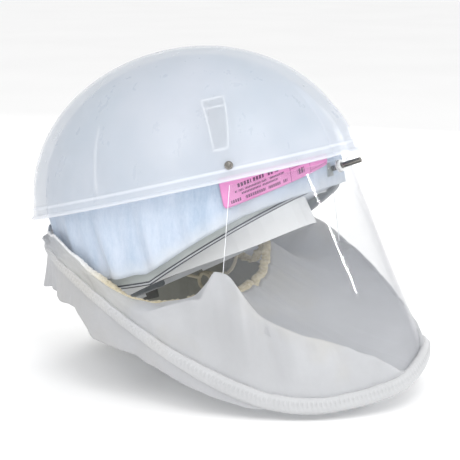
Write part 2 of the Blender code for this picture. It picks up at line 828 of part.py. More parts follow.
def cuff_funnel(name, angles):
    """The sheet from the ring's inner face up to the neck opening, with a little sag."""
    rows = 4
    rings = []
    for angle in angles:
        outer = ring_point(angle) - ring_out(angle) * (RING_BAND[0] / 2 + 3.6 * MM)
        inner = neck_point(angle)
        along = ring_point(angle + 1) - ring_point(angle - 1)
        side = along.cross(inner - outer).normalized() * CLOTH / 2
        low, high = [], []
        for k in range(rows + 1):
            share = k / rows
            at = outer.lerp(inner, share)
            at.z -= (inner - outer).length * 0.1 * math.sin(math.pi * share)
            low.append(at - side)
            high.append(at + side)
        rings.append(low + high[::-1])
    return loft(name, rings)


def neck_elastic(name, angles):
    radius = 1.8 * MM
    rings = []
    for angle in angles:
        along = (neck_point(angle + 1) - neck_point(angle - 1)).normalized()
        beyond = neck_point(angle) - ring_point(angle)
        beyond = (beyond - along * beyond.dot(along)).normalized()
        at = neck_point(angle) + beyond * (radius + 2 * MM)
        across = along.cross(Vector((0, 0, 1))).normalized()
        up = across.cross(along)
        ring = []
        for k in range(6):
            t = math.tau * k / 6
            ring.append(at + across * radius * math.cos(t) + up * radius * math.sin(t))
        rings.append(ring)
    return loft(name, rings)


def cuff_skirt(name, angles):
    """The loose edge of the cuff that hangs straight down behind the ring."""
    tilt = math.radians(HELMET_PITCH)
    down = Vector((0, math.sin(tilt), -math.cos(tilt)))
    rings = []
    for angle in angles:
        at, out = ring_point(angle), ring_out(angle)
        top = at - Vector((0, 0, RING_BAND[1] / 2 + GAP))
        depth = mix(6 * MM, SKIRT_DEPTH, smoothstep((60 * MM + at.y) / (160 * MM)))
        bottom = top + down * depth + out * 2 * MM
        half = out * CLOTH / 2
        rings.append([top - half, top + half, bottom + half, bottom - half])
    return loft(name, rings)


# ---------------------------------------------------------------- lead inside the helmet


def lead_route():
    """From the socket's plate, round one slack loop and up the base's wall to the rear fan."""
    start = SOCKET_AT + Vector((6 * MM, -12.7 * MM, -71.6 * MM))
    points = [start, start + Vector((2 * MM, -8 * MM, -2 * MM))]
    for k in range(9):
        t = math.radians(130 + 50 * k)
        drift = 0.7 * MM * k
        points.append(
            LOOP_AT + Vector((drift, LOOP_RADIUS * math.sin(t), -LOOP_RADIUS * math.cos(t)))
        )
    rest = (
        (80.5, 36, -88),
        (83.2, 24, -74),
        (83.3, 17, -50),
        (84, 16, -20),
        (84, 18, 6),
        (79, 23, 30),
        (67, 28, 49),
        (52, 33, 61),
        (38, 37, 66.5),
        (25.8, 38, 68.5),
    )
    return points + [Vector(p) * MM for p in rest]


def smooth_path(points, steps):
    """Catmull-Rom through the points, with steps samples to each span."""
    ends = [points[0] * 2 - points[1]] + points + [points[-1] * 2 - points[-2]]
    path = []
    for p0, p1, p2, p3 in zip(ends, ends[1:], ends[2:], ends[3:]):
        for k in range(steps):
            t = k / steps
            path.append(
                0.5
                * (
                    2 * p1
                    + (p2 - p0) * t
                    + (2 * p0 - 5 * p1 + 4 * p2 - p3) * t * t
                    + (3 * p1 - p0 - 3 * p2 + p3) * t**3
                )
            )
    return path + [points[-1]]


def make_lead(helmet):
    route = smooth_path(lead_route(), 3)
    curve = bpy.data.curves.new("power_lead", "CURVE")
    curve.dimensions = "3D"
    curve.bevel_depth = LEAD_RADIUS
    curve.bevel_resolution = 2
    curve.use_fill_caps = True
    line = curve.splines.new("POLY")
    line.points.add(len(route) - 1)
    for point, at in zip(line.points, route):
        point.co = (*at, 1)
    lead = bpy.data.objects.new("power_lead", curve)
    bpy.context.scene.collection.objects.link(lead)
    finish(lead, lead_jacket(), helmet)


# ---------------------------------------------------------------- assembly


def frame_empty(name, location, pitch, parent=None):
    empty = bpy.data.objects.new(name, None)
    bpy.context.scene.collection.objects.link(empty)
    empty.location = location
    empty.rotation_euler.x = -math.radians(pitch)
    empty.parent = parent
    return empty


def main():
    clear_scene()
    turn = Matrix.Rotation(-math.radians(HELMET_PITCH), 3, "X")
    helmet = frame_empty("helmet_frame", -(turn @ BAND_CENTRE), HELMET_PITCH)
    band = frame_empty("band_frame", BAND_CENTRE, BAND_PITCH, helmet)
    make_cap(helmet)
    make_filter(helmet)
    make_base(helmet)
    make_fan(helmet, "front", -FAN_OFFSET)
    make_fan(helmet, "rear", FAN_OFFSET)
    make_electronics(helmet)
    make_post(helmet)
    make_headband(helmet, band)
    make_lens(helmet)
    make_cuff(helmet)
    make_lead(helmet)


main()
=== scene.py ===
import json
import math

import bmesh
import bpy
import numpy as np
from mathutils import Matrix, Vector, noise


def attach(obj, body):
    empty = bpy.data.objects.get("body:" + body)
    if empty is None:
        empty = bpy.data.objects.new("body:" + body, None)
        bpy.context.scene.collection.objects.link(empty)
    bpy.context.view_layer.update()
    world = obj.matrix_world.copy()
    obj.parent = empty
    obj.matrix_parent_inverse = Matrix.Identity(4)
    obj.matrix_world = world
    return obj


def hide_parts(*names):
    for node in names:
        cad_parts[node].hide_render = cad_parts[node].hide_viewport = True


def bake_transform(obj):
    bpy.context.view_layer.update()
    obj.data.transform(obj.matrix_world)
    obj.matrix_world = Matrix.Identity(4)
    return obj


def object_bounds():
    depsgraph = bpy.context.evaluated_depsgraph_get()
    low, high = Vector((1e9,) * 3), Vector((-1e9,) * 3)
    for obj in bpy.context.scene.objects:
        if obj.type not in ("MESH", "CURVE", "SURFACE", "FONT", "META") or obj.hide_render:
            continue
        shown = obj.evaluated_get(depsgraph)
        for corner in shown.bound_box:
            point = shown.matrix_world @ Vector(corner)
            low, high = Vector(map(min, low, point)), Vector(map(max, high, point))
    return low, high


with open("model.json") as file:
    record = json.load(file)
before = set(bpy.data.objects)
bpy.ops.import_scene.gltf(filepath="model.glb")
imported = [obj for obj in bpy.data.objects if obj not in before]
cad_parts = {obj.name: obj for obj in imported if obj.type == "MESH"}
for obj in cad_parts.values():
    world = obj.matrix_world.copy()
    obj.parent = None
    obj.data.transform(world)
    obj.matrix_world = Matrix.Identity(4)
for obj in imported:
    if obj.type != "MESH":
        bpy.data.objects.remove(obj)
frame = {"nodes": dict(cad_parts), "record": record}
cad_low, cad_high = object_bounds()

NODES = frame["nodes"]
MM = 0.001

# ------------------------------------------------------------ sizes, in the helmet's frame in mm
HELMET_PITCH = math.radians(14.6)
BAND_CENTRE = Vector((0, 0, -54 * MM))
TURN = Matrix.Rotation(-HELMET_PITCH, 3, "X")
HELMET = Matrix.Translation(-(TURN @ BAND_CENTRE)) @ TURN.to_4x4()
# each shell: its half axes to the front, to the side and up
CAP = (147.0, 114.0, 116.0)
CAP_WALL = 2.0
FILTER = (136.0, 103.0, 109.0)
# the lower edges of the filter and of the base, behind and at the front
FILTER_LOW, FILTER_HIGH = -62.0, -20.0
BASE_LOW, BASE_HIGH = -66.0, -19.0
SKIRT_TAPER = 0.045  # the share by which both are narrower down at FILTER_LOW
BASE_A, BASE_B = 131.0, 97.0
# the ring and the neck opening: middle, half axes to the front and side, height behind, fall to the front
RING_MIDDLE, RING_A, RING_B, RING_HIGH, RING_FALL = 14.5, 157.5, 122.0, -23.0, 147.0
NECK_MIDDLE, NECK_A, NECK_B, NECK_HIGH, NECK_FALL = -48.0, 92.0, 101.0, -5.5, 88.0
RING_TIP = 130.0  # forward of this the ring curls up again
RING_DROOP = 18.0  # how far it sags at the near front
RING_INSET = 3.0  # how far it draws in behind
# the lens's top edge, and the degrees to each side that the lens takes up, below and at its top
LENS_A, LENS_B, LENS_TOP = 142.0, 109.0, -3.5
LENS_TURN, LENS_TOP_TURN = 74, 51
# the round hole in the lens for the post
POST_AT = (0.0, -143.1, -9.0)
POST_HOLE = 3.7
# the thickness of each sheet
THICK = {"filter": 1.6, "cuff": 0.9, "loose": 1.3, "lens": 0.8, "label": 0.35, "leaf": 0.8}
# for UVs: millimetres of cuff to a degree, and metres of shell to a radian
ARC = 2.2
TURN_SPAN = 0.12


def to_row(points):
    """Helmet-frame millimetres to row-frame metres."""
    p = np.asarray(points, float) * MM
    m = np.array(HELMET)
    return p @ m[:3, :3].T + m[:3, 3]


def smoothstep(x):
    """0 below 0 and 1 above 1, with a smooth rise between."""
    x = np.clip(x, 0.0, 1.0)
    return x * x * (3 - 2 * x)


def bump(x, middle, width):
    """A smooth hill of height 1."""
    return np.exp(-(((x - middle) / width) ** 2))


def side_of(deg):
    """Angles from -180 to 180, positive on the wearer's left."""
    return ((deg + 180) % 360) - 180


def field(points, scale, seed=0.0):
    """Smooth noise from -1 to 1 at each point."""
    p = np.asarray(points, float)
    flat = p.reshape(-1, 3)
    out = np.array([noise.noise(Vector((*(q / scale),)) + Vector((seed, 7.1 * seed, 0))) for q in flat])
    return out.reshape(p.shape[:-1])


# ------------------------------------------------------------ mesh helpers


def link(obj):
    bpy.context.scene.collection.objects.link(obj)
    return obj


def grid(name, p, wrap_u=False, wrap_v=False, uv=None):
    """A mesh through helmet-frame points (u, v, 3). uv is an array (u, v, 2), mostly in metres."""
    nu, nv = p.shape[:2]
    verts = to_row(p.reshape(-1, 3))
    faces = []
    corners = []
    for i in range(nu if wrap_u else nu - 1):
        a, b = i, (i + 1) % nu
        for j in range(nv if wrap_v else nv - 1):
            c, d = j, (j + 1) % nv
            faces.append((a * nv + c, b * nv + c, b * nv + d, a * nv + d))
            corners += [(i, j), (i + 1, j), (i + 1, j + 1), (i, j + 1)]
    mesh = bpy.data.meshes.new(name)
    mesh.from_pydata(verts.tolist(), [], faces)
    if uv is not None:
        layer = mesh.uv_layers.new(name="UVMap")
        last_u, last_v = uv.shape[0] - 1, uv.shape[1] - 1
        k = np.array(corners)
        value = uv[np.minimum(k[:, 0], last_u), np.minimum(k[:, 1], last_v)]
        layer.data.foreach_set("uv", value.astype(np.float32).ravel())
    mesh.shade_smooth()
    return link(bpy.data.objects.new(name, mesh))


def thicken(obj, kind, offset=0.0):
    """Gives a sheet its thickness: half on each side at offset 0, outward at 1, inward at -1."""
    skin = obj.modifiers.new("thickness", "SOLIDIFY")
    skin.thickness = THICK[kind] * MM
    skin.offset = offset
    return obj


def paint(obj, mat):
    """Gives a piece its material."""
    obj.data.materials.clear()
    obj.data.materials.append(mat)
    return obj


# ------------------------------------------------------------ materials


class Nodes:
    """A short way to build a node tree."""

    def __init__(self, name):
        self.mat = bpy.data.materials.new(name)
        self.mat.use_nodes = True
        self.tree = self.mat.node_tree
        self.shader = self.tree.nodes["Principled BSDF"]

    def add(self, kind, **inputs):
        node = self.tree.nodes.new("ShaderNode" + kind)
        for key, value in inputs.items():
            if key in ("operation", "wave_type", "bands_direction"):
                setattr(node, key, value)
            else:
                self.put(node.inputs[key], value)
        return node

    def put(self, socket, value):
        """Links a socket or a node's first output, or sets a plain value."""
        if isinstance(value, bpy.types.NodeSocket):
            self.tree.links.new(value, socket)
        elif isinstance(value, bpy.types.Node):
            self.tree.links.new(value.outputs[0], socket)
        else:
            socket.default_value = value

    def set(self, **inputs):
        """Sets or links sockets of the main shader."""
        for key, value in inputs.items():
            self.put(self.shader.inputs[key.replace("_", " ")], value)

    def maths(self, operation, a, b=0.0):
        node = self.add("Math", operation=operation)
        self.put(node.inputs[0], a)
        self.put(node.inputs[1], b)
        return node

    def mix(self, share, a, b):
        node = self.tree.nodes.new("ShaderNodeMix")
        node.data_type = "RGBA"
        self.put(node.inputs[0], share)
        self.put(node.inputs[6], a)
        self.put(node.inputs[7], b)
        return node.outputs[2]

    def ramp(self, value, *stops):
        """Each stop is a place from 0 to 1 and a colour or a grey."""
        node = self.add("ValToRGB")
        self.put(node.inputs[0], value)
        stops = sorted(stops)
        elements = node.color_ramp.elements
        while len(elements) < len(stops):
            elements.new(0.5)
        for element, (at, colour) in zip(elements, stops):
            element.position = at
            element.color = colour if hasattr(colour, "__len__") else (colour, colour, colour, 1)
        return node.outputs[0]

    def place(self, scale=(1, 1, 1), output="Object"):
        """Object or UV coordinates, scaled."""
        where = self.add("TexCoord")
        mapping = self.add("Mapping")
        self.put(mapping.inputs["Vector"], where.outputs[output])
        mapping.inputs["Scale"].default_value = scale
        return mapping.outputs[0]

    def split_uv(self):
        split = self.add("SeparateXYZ")
        self.put(split.inputs[0], self.place((1, 1, 1), "UV"))
        return split.outputs[0], split.outputs[1]

    def noise(self, scale, detail=3.0, rough=0.5, where=None):
        node = self.add("TexNoise", Scale=scale, Detail=detail, Roughness=rough)
        self.put(node.inputs["Vector"], where if where is not None else self.place())
        return node.outputs["Fac"]

    def bump(self, height, strength=0.3, distance=0.0005, normal=None):
        node = self.tree.nodes.new("ShaderNodeBump")
        node.inputs["Strength"].default_value = strength
        node.inputs["Distance"].default_value = distance
        self.put(node.inputs["Height"], height)
        if normal is not None:
            self.put(node.inputs["Normal"], normal)
        self.put(self.shader.inputs["Normal"], node.outputs[0])
        return node.outputs[0]


def rgb(*colour):
    """An sRGB colour, 0 to 255, as linear with full alpha."""
    share = [c / 255 for c in colour]
    return tuple(c / 12.92 if c <= 0.04045 else ((c + 0.055) / 1.055) ** 2.4 for c in share) + (1.0,)


def scaled(colour, share):
    """A colour made darker or lighter, up to white."""
    return tuple(min(1, c * share) for c in colour[:3]) + (1,)


def moulded(name, colour, roughness):
    """Moulded plastic: fine grain, slow colour drift and light scuffs."""
    n = Nodes(name)
    drift = n.noise(18, 3)
    scuff = n.noise(160, 6, 0.7, n.place((1, 1, 0.25)))
    n.set(Base_Color=n.ramp(drift, (0.3, scaled(colour, 0.904)), (0.7, scaled(colour, 1.06))))
    n.set(Roughness=n.ramp(scuff, (0.35, roughness - 0.07), (0.7, roughness + 0.1)))
    n.bump(n.noise(900, 2), 0.12, 0.0003)
    return n.mat


def cap_plastic():
    """Milky translucent moulding: faint clouds and scuffs, and two paler, denser lines round the rim that
    are painted highlights.
    """
    n = Nodes("cap_plastic")
    v = n.split_uv()[1]
    height = n.maths("MULTIPLY", v, 80.0)  # the ramp below spans 12.5 mm from the rim
    # painted highlight: the two rim lines below are paler and more opaque, standing for the light caught by
    # the rim's edges
    lip = ((0.0, 0.9), (0.14, 0.8), (0.26, 0.1))
    step = ((0.56, 0.1), (0.66, 0.9), (0.73, 0.9), (0.82, 0.0))
    line = n.ramp(height, *lip, *step)
    cloud = n.noise(9, 3, 0.55)
    milk = n.ramp(cloud, (0.3, rgb(198, 205, 213)), (0.7, rgb(212, 215, 222)))
    n.set(Base_Color=n.mix(line, milk, rgb(216, 220, 228)))
    scuff = n.noise(70, 6, 0.7, n.place((1, 1, 0.3)))
    n.set(Roughness=n.ramp(scuff, (0.3, 0.24), (0.75, 0.42)))
    n.set(Alpha=n.maths("ADD", n.maths("MULTIPLY", line, 0.22), 0.42))
    n.set(Specular_IOR_Level=0.6)
    n.bump(n.noise(26, 3), 0.08, 0.002)
    return n.mat


def leaf_plastic():
    """Clear moulding whose thick edges, where UV u is high, are paler and denser."""
    n = Nodes("leaf_plastic")
    u = n.split_uv()[0]
    thick = n.ramp(u, (0.25, 0.0), (0.8, 1.0))
    body = n.ramp(n.noise(60, 3), (0.3, rgb(116, 124, 134)), (0.7, rgb(134, 142, 152)))
    n.set(Base_Color=n.mix(thick, body, rgb(250, 251, 253)))
    n.set(Alpha=n.ramp(thick, (0.0, 0.36), (1.0, 1.0)))
    n.set(Roughness=n.ramp(n.noise(200, 4), (0.3, 0.3), (0.7, 0.45)))
    n.bump(n.noise(500, 2), 0.1, 0.0003)
    return n.mat


def edge_plastic():
    """Grey plastic with a dark line along each side, placed by UV v."""
    n = Nodes("edge_plastic")
    v = n.split_uv()[1]
    grey = n.ramp(n.noise(120, 4), (0.3, rgb(150, 153, 156)), (0.7, rgb(172, 175, 177)))
    lower, upper = ((0.0, 1.0), (0.26, 1.0), (0.31, 0.0)), ((0.68, 0.0), (0.73, 1.0), (1.0, 1.0))
    dark = n.ramp(v, *lower, *upper)
    n.set(Base_Color=n.mix(dark, grey, rgb(62, 64, 70)))
    n.set(Roughness=n.ramp(n.noise(300, 3), (0.3, 0.35), (0.7, 0.5)))
    n.bump(n.noise(700, 2), 0.1, 0.0003)
    return n.mat


def rib_plastic():
    """The cap's plastic where it is thick, nearly opaque."""
    n = Nodes("rib_plastic")
    n.set(Base_Color=n.ramp(n.noise(60, 3), (0.3, rgb(226, 229, 236)), (0.7, rgb(240, 242, 246))))
    n.set(Roughness=n.ramp(n.noise(200, 4), (0.3, 0.3), (0.7, 0.45)))
    n.set(Alpha=0.9)
    n.bump(n.noise(500, 2), 0.1, 0.0003)
    return n.mat


def steel():
    """Bright steel with turning lines."""
    n = Nodes("turned_steel")
    lines = n.noise(900, 2, 0.5, n.place((1, 1, 12)))
    n.set(Base_Color=n.ramp(lines, (0.3, rgb(108, 106, 102)), (0.7, rgb(158, 155, 150))))
    n.set(Metallic=1.0)
    n.set(Roughness=n.ramp(lines, (0.2, 0.12), (0.8, 0.26)))
    n.bump(lines, 0.1, 0.0002)
    return n.mat


def nonwoven():
    """Pale blue spunbond over UVs in metres: pressed fibres, bond dots and a paler welded hem."""
    n = Nodes("blue_nonwoven")
    fibre = n.noise(620, 6, 0.75, n.place((1, 1, 0.35)))
    cloud = n.noise(34, 5, 0.65, n.place((1, 1, 0.22)))
    base = n.ramp(cloud, (0.34, rgb(156, 173, 193)), (0.66, rgb(188, 197, 211)))
    fibred = n.mix(n.ramp(fibre, (0.38, 0.0), (0.75, 0.35)), base, rgb(206, 213, 223))
    v = n.split_uv()[1]
    ragged = n.maths("ADD", v, n.maths("MULTIPLY", n.noise(80, 4), 0.012))
    hem = n.ramp(ragged, (0.008, 0.75), (0.018, 0.0))
    n.set(Base_Color=n.mix(hem, fibred, rgb(192, 197, 203)))
    n.set(Roughness=n.ramp(fibre, (0.3, 0.8), (0.7, 0.95)))
    dots = n.add("TexVoronoi", Scale=420.0)
    n.put(dots.inputs["Vector"], n.place())
    first = n.bump(n.ramp(dots.outputs["Distance"], (0.1, 0.0), (0.45, 1.0)), 0.2, 0.0004)
    n.bump(fibre, 0.35, 0.0006, first)
    n.set(Sheen_Weight=0.15, Sheen_Roughness=0.5)
    return n.mat


def knit(name, colour, scale, warmth, glow=0.0, depth=0.3):
    """Fine knit cloth over UVs in metres, with warmer patches and painted shade in the weave's hollows. It
    lets the share glow of light through.
    """
    n = Nodes(name)
    where = n.place((1, 1, 1), "UV")
    bands = {"wave_type": "BANDS", "Scale": scale, "Distortion": 1.5, "Vector": where}
    wales = n.add("TexWave", bands_direction="X", **bands)
    courses = n.add("TexWave", bands_direction="Y", **bands)
    weave_height = n.maths("MULTIPLY", wales.outputs["Fac"], courses.outputs["Fac"])
    cloud = n.noise(16, 5, 0.62)
    dark = scaled(colour, 0.9)
    base = n.ramp(cloud, (0.3, dark), (0.72, colour))
    base = n.mix(n.ramp(n.noise(7, 4, 0.6), (0.5, 0.0), (0.75, 0.6)), base, warmth)
    # painted shade: where the weave is low, the colour is mixed towards the darker tone
    n.set(Base_Color=n.mix(n.ramp(weave_height, (0.0, 0.18), (0.6, 0.0)), base, dark))
    n.set(Roughness=n.ramp(n.noise(300, 3), (0.3, 0.82), (0.7, 0.96)))
    n.set(Sheen_Weight=0.3, Sheen_Roughness=0.6)
    first = n.bump(weave_height, 0.3, 0.0004)
    n.bump(n.noise(110, 5, 0.65), depth, 0.0012, first)
    if glow:
        through = n.add("BsdfTranslucent")
        n.put(through.inputs[0], base)
        both = n.add("MixShader")
        both.inputs[0].default_value = glow
        n.put(both.inputs[1], n.shader)
        n.put(both.inputs[2], through)
        n.put(n.tree.nodes["Material Output"].inputs[0], both)
    return n.mat


def clear_film():
    """Clear sheet: hardly there face on, denser where it is seen edge on."""
    n = Nodes("clear_film")
    haze = n.noise(14, 5, 0.6)
    n.set(Base_Color=n.ramp(haze, (0.3, rgb(128, 132, 142)), (0.7, rgb(150, 153, 162))))
    n.set(Roughness=n.ramp(n.noise(40, 4), (0.3, 0.02), (0.75, 0.05)))
    n.set(Specular_IOR_Level=0.7, Coat_Weight=0.6, Coat_IOR=1.5, Coat_Roughness=0.02)
    facing = n.add("LayerWeight", Blend=0.35)
    n.set(Alpha=n.ramp(facing.outputs["Facing"], (0.0, 0.08), (0.45, 0.12), (1.0, 0.45)))
    n.bump(n.noise(11, 2), 0.05, 0.003)
    return n.mat


def elastic_cloth():
    """Beige elastic where UV u is high, white seam where it is low, ribbed across."""
    n = Nodes("elastic_cloth")
    u = n.split_uv()[0]
    ribs = n.noise(420, 3, 0.6)
    beige = n.ramp(ribs, (0.3, rgb(176, 164, 134)), (0.7, rgb(206, 198, 176)))
    white = n.ramp(ribs, (0.3, rgb(198, 199, 200)), (0.7, rgb(214, 215, 216)))
    n.set(Base_Color=n.mix(n.ramp(u, (0.02, 0.0), (0.09, 1.0)), white, beige))
    n.set(Roughness=n.ramp(ribs, (0.3, 0.8), (0.7, 0.95)))
    n.set(Sheen_Weight=0.2)
    n.bump(ribs, 0.4, 0.0008)
    return n.mat


def film_edge_glow():
    """The sheet's cut edge, painted as a highlight: near white, and glowing faintly though it is no lamp."""
    n = Nodes("film_edge_glow")
    n.set(Base_Color=n.ramp(n.noise(300, 4), (0.3, rgb(236, 240, 246)), (0.7, rgb(255, 255, 255))))
    n.set(Roughness=n.ramp(n.noise(120, 3), (0.3, 0.25), (0.7, 0.45)))
    # painted highlight: a faint white glow on the edge
    n.set(Alpha=0.85, Emission_Color=(1, 1, 1, 1), Emission_Strength=0.25)
    return n.mat


def label_print():
    """Pink label in UV metres: rules, a boxed block and rows of short bars in place of words."""
    n = Nodes("label_print")
    x, y = n.split_uv()

    def between(value, low, high):
        return n.maths("MULTIPLY", n.maths("GREATER_THAN", value, low), n.maths("LESS_THAN", value, high))

    def either(a, b):
        return n.maths("MAXIMUM", a, b)

    def both(a, b):
        return n.maths("MULTIPLY", a, b)

    def words(low, high, start, end, pitch, share, seed):
        """A row of bars between two heights, of random lengths, with letter gaps in them."""
        cells = n.add("TexNoise", Scale=1.0, Detail=1.0)
        at = n.add("CombineXYZ")
        n.put(at.inputs[0], n.maths("MULTIPLY", x, 160.0))
        at.inputs[1].default_value = seed
        n.put(cells.inputs["Vector"], at)
        word = n.maths("GREATER_THAN", cells.outputs["Fac"], share)
        letter = n.maths("GREATER_THAN", n.maths("FRACT", n.maths("MULTIPLY", x, 1 / pitch)), 0.28)
        return both(both(between(y, low, high), between(x, start, end)), both(word, letter))

    ink = words(0.0022, 0.0046, 0.006, 0.052, 0.0017, 0.40, 3.1)
    ink = either(ink, words(0.0064, 0.0080, 0.014, 0.044, 0.0012, 0.42, 9.4))
    ink = either(ink, words(0.0092, 0.0108, 0.010, 0.050, 0.0012, 0.42, 17.7))
    ink = either(ink, words(0.0126, 0.0156, 0.012, 0.046, 0.0024, 0.40, 23.2))
    ink = either(ink, words(0.0034, 0.0078, 0.0620, 0.0690, 0.0026, 0.0, 31.0))
    rules = either(between(x, 0.0552, 0.0559), between(x, 0.0752, 0.0758))
    across = both(between(x, 0.0552, 0.0960), between(y, 0.0098, 0.0104))
    rules = either(rules, across)
    rules = either(rules, both(between(x, 0.0752, 0.0960), between(y, 0.0020, 0.0025)))
    pink = n.ramp(n.noise(60, 3), (0.3, rgb(206, 128, 180)), (0.7, rgb(218, 146, 194)))
    ruled = n.mix(n.maths("MULTIPLY", rules, 0.7), pink, rgb(128, 52, 100))
    n.set(Base_Color=n.mix(n.maths("MULTIPLY", ink, 0.85), ruled, rgb(58, 30, 62)))
    n.set(Roughness=n.ramp(n.noise(90, 3), (0.3, 0.42), (0.7, 0.55)))
    n.bump(n.noise(200, 3), 0.1, 0.0003)
    return n.mat


def foam(name, colour):
    """Open-cell foam, painted darker where its cells sink, as shade in the pores."""
    n = Nodes(name)
    cells = n.noise(900, 4, 0.7)
    # painted shade: the low cells of the bump are also the dark end of the colour
    n.set(Base_Color=n.ramp(cells, (0.3, scaled(colour, 0.7)), (0.7, colour)))
    n.set(Roughness=n.ramp(cells, (0.3, 0.88), (0.7, 1.0)))
    n.set(Sheen_Weight=0.4)
    n.bump(cells, 0.35, 0.0006)
    return n.mat


def board():
    """Green circuit board with paler tracks."""
    n = Nodes("circuit_board")
    tracks = n.add("TexBrick", Scale=260.0)
    n.put(tracks.inputs["Vector"], n.place())
    tracks.inputs["Color1"].default_value = rgb(22, 92, 58)
    tracks.inputs["Color2"].default_value = rgb(18, 78, 50)
    tracks.inputs["Mortar"].default_value = rgb(96, 140, 84)
    n.set(Base_Color=tracks.outputs["Color"])
    n.set(Roughness=n.ramp(n.noise(200, 3), (0.3, 0.3), (0.7, 0.5)))
    return n.mat


# ------------------------------------------------------------ camera, light and floor


CAMERA_TURN, CAMERA_RISE, CAMERA_REACH = -58, 9.6, 1.35
AIM_RIGHT, AIM_DOWN = 0.03230, 0.03878  # where it looks, from the helmet's origin
GLINT_REACH = 1.5
FLOOR_DROP = 0.017  # below the CAD model, as the cuff's edge sags below its solid


def stage():
    """White surroundings, the camera at the photograph's angle, the floor and the lamps."""
    scene = bpy.context.scene
    scene.view_settings.view_transform = "Standard"
    world = bpy.data.worlds.new("studio")
    world.use_nodes = True
    backdrop = world.node_tree.nodes["Background"]
    backdrop.inputs["Color"].default_value = (1, 1, 1, 1)
    backdrop.inputs["Strength"].default_value = 0.98
    scene.world = world
    origin = HELMET.to_translation()
    scene.camera = make_camera(origin)
    make_floor()
    light(origin)


def make_camera(origin):
    """A long lens at the photograph's angle, level with the horizon."""
    back = way(CAMERA_TURN, CAMERA_RISE)
    right = (-back).cross(Vector((0, 0, 1))).normalized()
    up = back.cross(right)
    spot = origin + back * CAMERA_REACH
    aim = origin + right * AIM_RIGHT - up * AIM_DOWN
    camera = bpy.data.cameras.new("camera")
    camera.sensor_width = 36
    camera.lens = 124.0
    holder = link(bpy.data.objects.new("camera", camera))
    holder.location = spot
    holder.rotation_mode = "QUATERNION"
    holder.rotation_quaternion = (aim - spot).to_track_quat("-Z", "Y")
    return holder


def make_floor():
    """A wide pale floor."""
    floor = bmesh.new()
    bmesh.ops.create_grid(floor, x_segments=2, y_segments=2, size=8)
    mesh = bpy.data.meshes.new("floor")
    floor.to_mesh(mesh)
    floor.free()
    ground = link(bpy.data.objects.new("floor", mesh))
    ground.location.z = cad_low.z - FLOOR_DROP
    n = Nodes("studio_floor")
    n.set(Base_Color=n.ramp(n.noise(3, 2), (0.3, (0.93, 0.93, 0.93, 1)), (0.7, (0.95, 0.95, 0.95, 1))))
    n.set(Roughness=0.95, Specular_IOR_Level=0.1)
    paint(ground, n.mat)


def light(origin):
    """Soft lamps from both sides, and narrow strips that show as glints on the lens."""
    # sizes and distances in metres, power in watts
    for name, turn, rise, reach, width, height, power in (
        ("key", -40, 48, 1.5, 0.8, 0.8, 5.0),
        ("side", -100, 34, 1.5, 0.4, 0.9, 4.5),
        ("fill", -46, 4, 1.6, 0.8, 0.7, 6.5),
        ("far_fill", 100, 12, 1.5, 0.9, 0.8, 8.0),
    ):
        middle = origin + way(turn, rise) * reach
        body = lamp(name, middle, middle + Vector((0, 0, 1)), origin, width, height, power)
        body.visible_glossy = "fill" not in name
    # each glint runs along the lens from top to low, in row-frame millimetres, and its lamp lies
    # along the rays, turn and rise, that those two points mirror to the camera
    for name, top, top_ray, low, low_ray, width, power in (
        ("glint", (-40, -122, 68), (8, 26.4), (-39, -165, -20), (17, 21), 0.008, 3.6),
        ("glint_thin", (-40, -122, 68), (10, 26.4), (-39, -165, -20), (18.5, 21), 0.004, 0.9),
        ("glint_front", (-21, -120, 87), (37, 24), (-17, -130, 69), (42, 22), 0.006, 1.2),
    ):
        a = Vector(top) * MM + way(*top_ray) * GLINT_REACH
        b = Vector(low) * MM + way(*low_ray) * GLINT_REACH
        lamp(name, (a + b) / 2, a, origin, width, (a - b).length, power)


def way(turn, rise):
    """A direction from its angles in degrees: turn from the front towards +X, rise above level."""
    turn, rise = math.radians(turn), math.radians(rise)
    return Vector((math.sin(turn) * math.cos(rise), -math.cos(turn) * math.cos(rise), math.sin(rise)))


def lamp(name, middle, along, target, width, height, power):
    """A flat lamp that faces target, with its height along the line from middle to along."""
    area = bpy.data.lights.new(name, "AREA")
    area.energy = power
    area.shape = "RECTANGLE"
    area.size = width
    area.size_y = height
    body = link(bpy.data.objects.new(name, area))
    z = (middle - target).normalized()
    y = along - middle
    y = (y - z * y.dot(z)).normalized()
    body.matrix_world = Matrix.Translation(middle) @ Matrix((y.cross(z), y, z)).transposed().to_4x4()
    return body


# ------------------------------------------------------------ cap


# the cap's rim: each point's height, and how far it stands out from the shell
CAP_RIM = (
    (9.4, 0.0), (8.6, 0.7), (7.9, 0.9), (4.2, 1.1), (2.9, 1.5), (1.9, 2.8), (1.3, 3.5), (0.5, 3.7),
    (0.0, 3.3), (0.0, 1.2), (0.6, -0.4), (3.0, -1.3), (8.0, -2.0),
)
PROW_REACH, PROW_HALF, PROW_HEIGHT = 10.0, 15.0, 62.0


def prow(x, y, z):
    """Brings the middle of the cap's front forward, most at the rim."""
    across = smoothstep((PROW_HALF - abs(x)) / 6.0)
    up = smoothstep(1.25 - z / PROW_HEIGHT)
    return np.where(y < 0, y - PROW_REACH * across * up, y)


